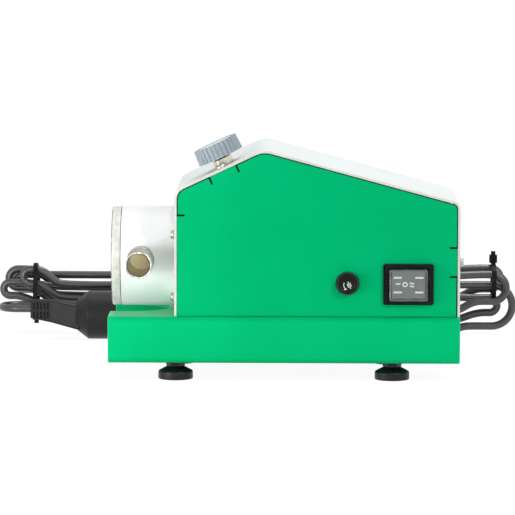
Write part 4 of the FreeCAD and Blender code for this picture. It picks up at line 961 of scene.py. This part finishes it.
long_run = [step / run_points for step in range(1, run_points)]
route = [Vector(spot) for spot in lead_route]
for loop, (low, left, right) in enumerate(zip(low_heights, left_turns, right_turns)):
    row = last_row + hank_pitch * (len(low_heights) - loop)
    top = top_heights[loop]
    left_x, left_z, left_radius = left
    right_x, right_z, right_radius = right
    for share in over_top:
        route.append(Vector((gather * share, row, top)))
    left_in = left_x + lead_in * left_radius
    route += sloping((gather, row, top), (left_in, row, left_z + left_radius), into_turn)
    for out, up in half_turn():
        route.append(Vector((left_x - left_radius * out, row, left_z + left_radius * up)))
    route += sloping((left_in, row, left_z - left_radius), (gather, row, low), out_of_turn)
    route.append(Vector((gather, row, low)))
    route += sloping((gather, row, low), (sag_x, row, right_sag[loop]), long_run)
    route.append(Vector((sag_x, row, right_sag[loop])))
    right_in = right_x - lead_in * right_radius
    route += sloping((sag_x, row, right_sag[loop]), (right_in, row, right_z - right_radius), into_turn)
    for out, up in half_turn():
        route.append(Vector((right_x + right_radius * out, row, right_z - right_radius * up)))
    back = (right_x - right_straight, row, right_z + right_radius)
    route.append(Vector(back))
    route += sloping(back, (0, row - hank_pitch, top_heights[loop + 1]), long_run)
    route.append(Vector((0, row - hank_pitch, top_heights[loop + 1])))
turn_radius = (last_row - plug_start.y) / 2
last_in = (last_turn + turn_radius, last_row, plug_start.z)
route += sloping((0, last_row, top_heights[-1]), last_in, long_run)
route.append(Vector(last_in))
for out, up in half_turn():
    across_row = plug_start.y + turn_radius * (1 + up)
    route.append(Vector((last_turn - turn_radius * out, across_row, plug_start.z)))
route.append(plug_start)

cord_line = bpy.data.curves.new("mains_cord", "CURVE")
cord_line.dimensions = "3D"
cord_line.bevel_depth = cord_diameter / 2 * mm
cord_line.bevel_resolution = 5
cord_line.resolution_u = 8
cord_line.materials.append(cord_grey)
spline = cord_line.splines.new("NURBS")
spline.points.add(len(route) - 1)
for point, spot in zip(spline.points, route):
    point.co = (*((spot + centring) * mm), 1.0)
spline.order_u = 3
spline.use_endpoint_u = True
mains_cord = bpy.data.objects.new("mains_cord", cord_line)
bpy.context.scene.collection.objects.link(mains_cord)
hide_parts("mains_lead", "cord_hank")
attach(mains_cord, "frame")

# Cable ties and plug: black nylon ties hold the hank near its ends, and the plug is moulded on the cord.
# The plug has a slotted strain relief, a grip that widens and a round head with two nickel plated pins.
plug_grey = finish("plug PVC", shade(20, 22, 21), shade(27, 29, 28), 10, (0.36, 0.5), 0.4, 0.02,
                   specular_ior_level=0.3)
relief_end = -156.3 * mm
relief_middle = Vector((-163.5, 167, 19.25)) * mm
relief_reach = (6.8 * mm, 5.2 * mm, 5.4 * mm)
slot_length = 5 * mm


def off_slots(edge):
    """Whether an edge is rounded: the short ones in the slotted strain relief stay sharp."""
    outside = min(corner.co.x for corner in edge.verts) > relief_end
    return outside or edge.calc_length() > slot_length


def in_slot(face):
    """Dark rubber for the depths of the slots, and the plug's own PVC for the rest."""
    off = face.calc_center_median() - relief_middle
    return 1 if all(abs(part) < reach for part, reach in zip(off, relief_reach)) else 0


dressed(black_plastic, "tie_left", "tie_right")
plug = softened("plug_body", 0.6, "cord_grey", plug_grey, seal_rubber, pick=in_slot, rounded=off_slots)
pins = softened("plug_pins", 0.5, "commutator_copper", nickel, steps=3)

# Stage: a pale floor that runs out to white, soft light from above and in front, a narrow lamp that shines
# down the bore of the guide tube, and the photograph's camera.
# The room is dimmer for the object than for the camera, so that shadows and gloss keep their depth.
scene = bpy.context.scene
scene.view_settings.view_transform = "Standard"


def seen_directly(tree):
    """1 for what the camera sees, by itself or in a reflection or through glass."""
    rays = tree.nodes.new("ShaderNodeLightPath")
    seen_or_mirrored = worked(tree, "MAXIMUM", rays.outputs["Is Camera Ray"], rays.outputs["Is Glossy Ray"])
    return worked(tree, "MAXIMUM", seen_or_mirrored, rays.outputs["Is Transmission Ray"])


def mixed(tree, share, first, second):
    """Two shaders, blended by a share that is a number or another node's output."""
    blend = wire(tree.nodes.new("ShaderNodeMixShader"), fac=share)
    tree.links.new(first, blend.inputs[1])
    tree.links.new(second, blend.inputs[2])
    return blend.outputs["Shader"]


white = (1, 1, 1, 1)
room_level = 0.45
backdrop_level = 1.0
world = bpy.data.worlds.new("studio")
world.use_nodes = True
scene.world = world
studio = world.node_tree
room = wire(studio.nodes["Background"], color=white, strength=room_level)
backdrop = wire(studio.nodes.new("ShaderNodeBackground"), color=white, strength=backdrop_level)
around = mixed(studio, seen_directly(studio), room.outputs["Background"], backdrop.outputs["Background"])
wire(studio.nodes["World Output"], surface=around)

floor_reach = 4.0
floor_glow = 1.1
floor_shadow = 0.15
floor_form = bmesh.new()
bmesh.ops.create_grid(floor_form, x_segments=1, y_segments=1, size=floor_reach)
floor_finish = bpy.data.materials.new("pale floor")
floor_finish.use_nodes = True
ground = floor_finish.node_tree
matt = wire(ground.nodes.new("ShaderNodeBsdfDiffuse"), color=shade(246, 246, 246)).outputs["BSDF"]
glow = wire(ground.nodes.new("ShaderNodeEmission"), strength=floor_glow).outputs["Emission"]
pale = mixed(ground, floor_shadow, glow, matt)
wire(ground.nodes["Material Output"], surface=mixed(ground, seen_directly(ground), matt, pale))
floor = shown("floor", floor_form, floor_finish)


def hung(fitting, spot, aim):
    """A lamp in the scene at a spot, facing an aim."""
    lamp = bpy.data.objects.new(fitting.name, fitting)
    lamp.location = spot
    lamp.rotation_euler = (aim - spot).to_track_quat("-Z", "Y").to_euler()
    scene.collection.objects.link(lamp)


def softbox(name, spot, aim, width, power):
    """A square soft lamp at a spot, facing an aim."""
    lamp = bpy.data.lights.new(name, "AREA")
    lamp.size = width
    lamp.energy = power
    hung(lamp, spot, aim)


middle = Vector((0, 0, 0.08))
chamber_foot = Vector((-0.09, -0.02, 0.06))
softbox("top softbox", Vector((0.2, 0.25, 1.25)), middle, width=0.35, power=5.9)
softbox("left softbox", Vector((-1.2, -1.5, 0.12)), middle, width=0.7, power=2.1)
softbox("floor card", Vector((-0.3, -0.22, 0.01)), chamber_foot, width=0.2, power=0.98)
softbox("right softbox", Vector((0.9, -1.2, 0.9)), middle, width=0.3, power=8.0)

bore_lamp = bpy.data.lights.new("lamp down the bore", "SPOT")
bore_lamp.energy = 26
bore_lamp.spot_size = math.radians(0.85)
bore_lamp.spot_blend = 0.4
bore_lamp.shadow_soft_size = 0.01
hung(bore_lamp, tube_mouth + Vector((0.04, -1.2, 0.06)), tube_mouth)

camera_spot = Vector((7.9, -2493.5, 318)) * mm
camera_aim = Vector((-17.3, -55.5, 76.76)) * mm
camera_roll = math.radians(0.16)
lens = bpy.data.cameras.new("photo camera")
lens.sensor_width = 36
lens.lens = 280.7
lens.clip_end = 20
camera = bpy.data.objects.new("photo camera", lens)
camera.location = camera_spot
level_turn = (camera_aim - camera_spot).to_track_quat("-Z", "Y")
camera.rotation_euler = (level_turn @ Quaternion((0, 0, 1), camera_roll)).to_euler()
scene.collection.objects.link(camera)
scene.camera = camera
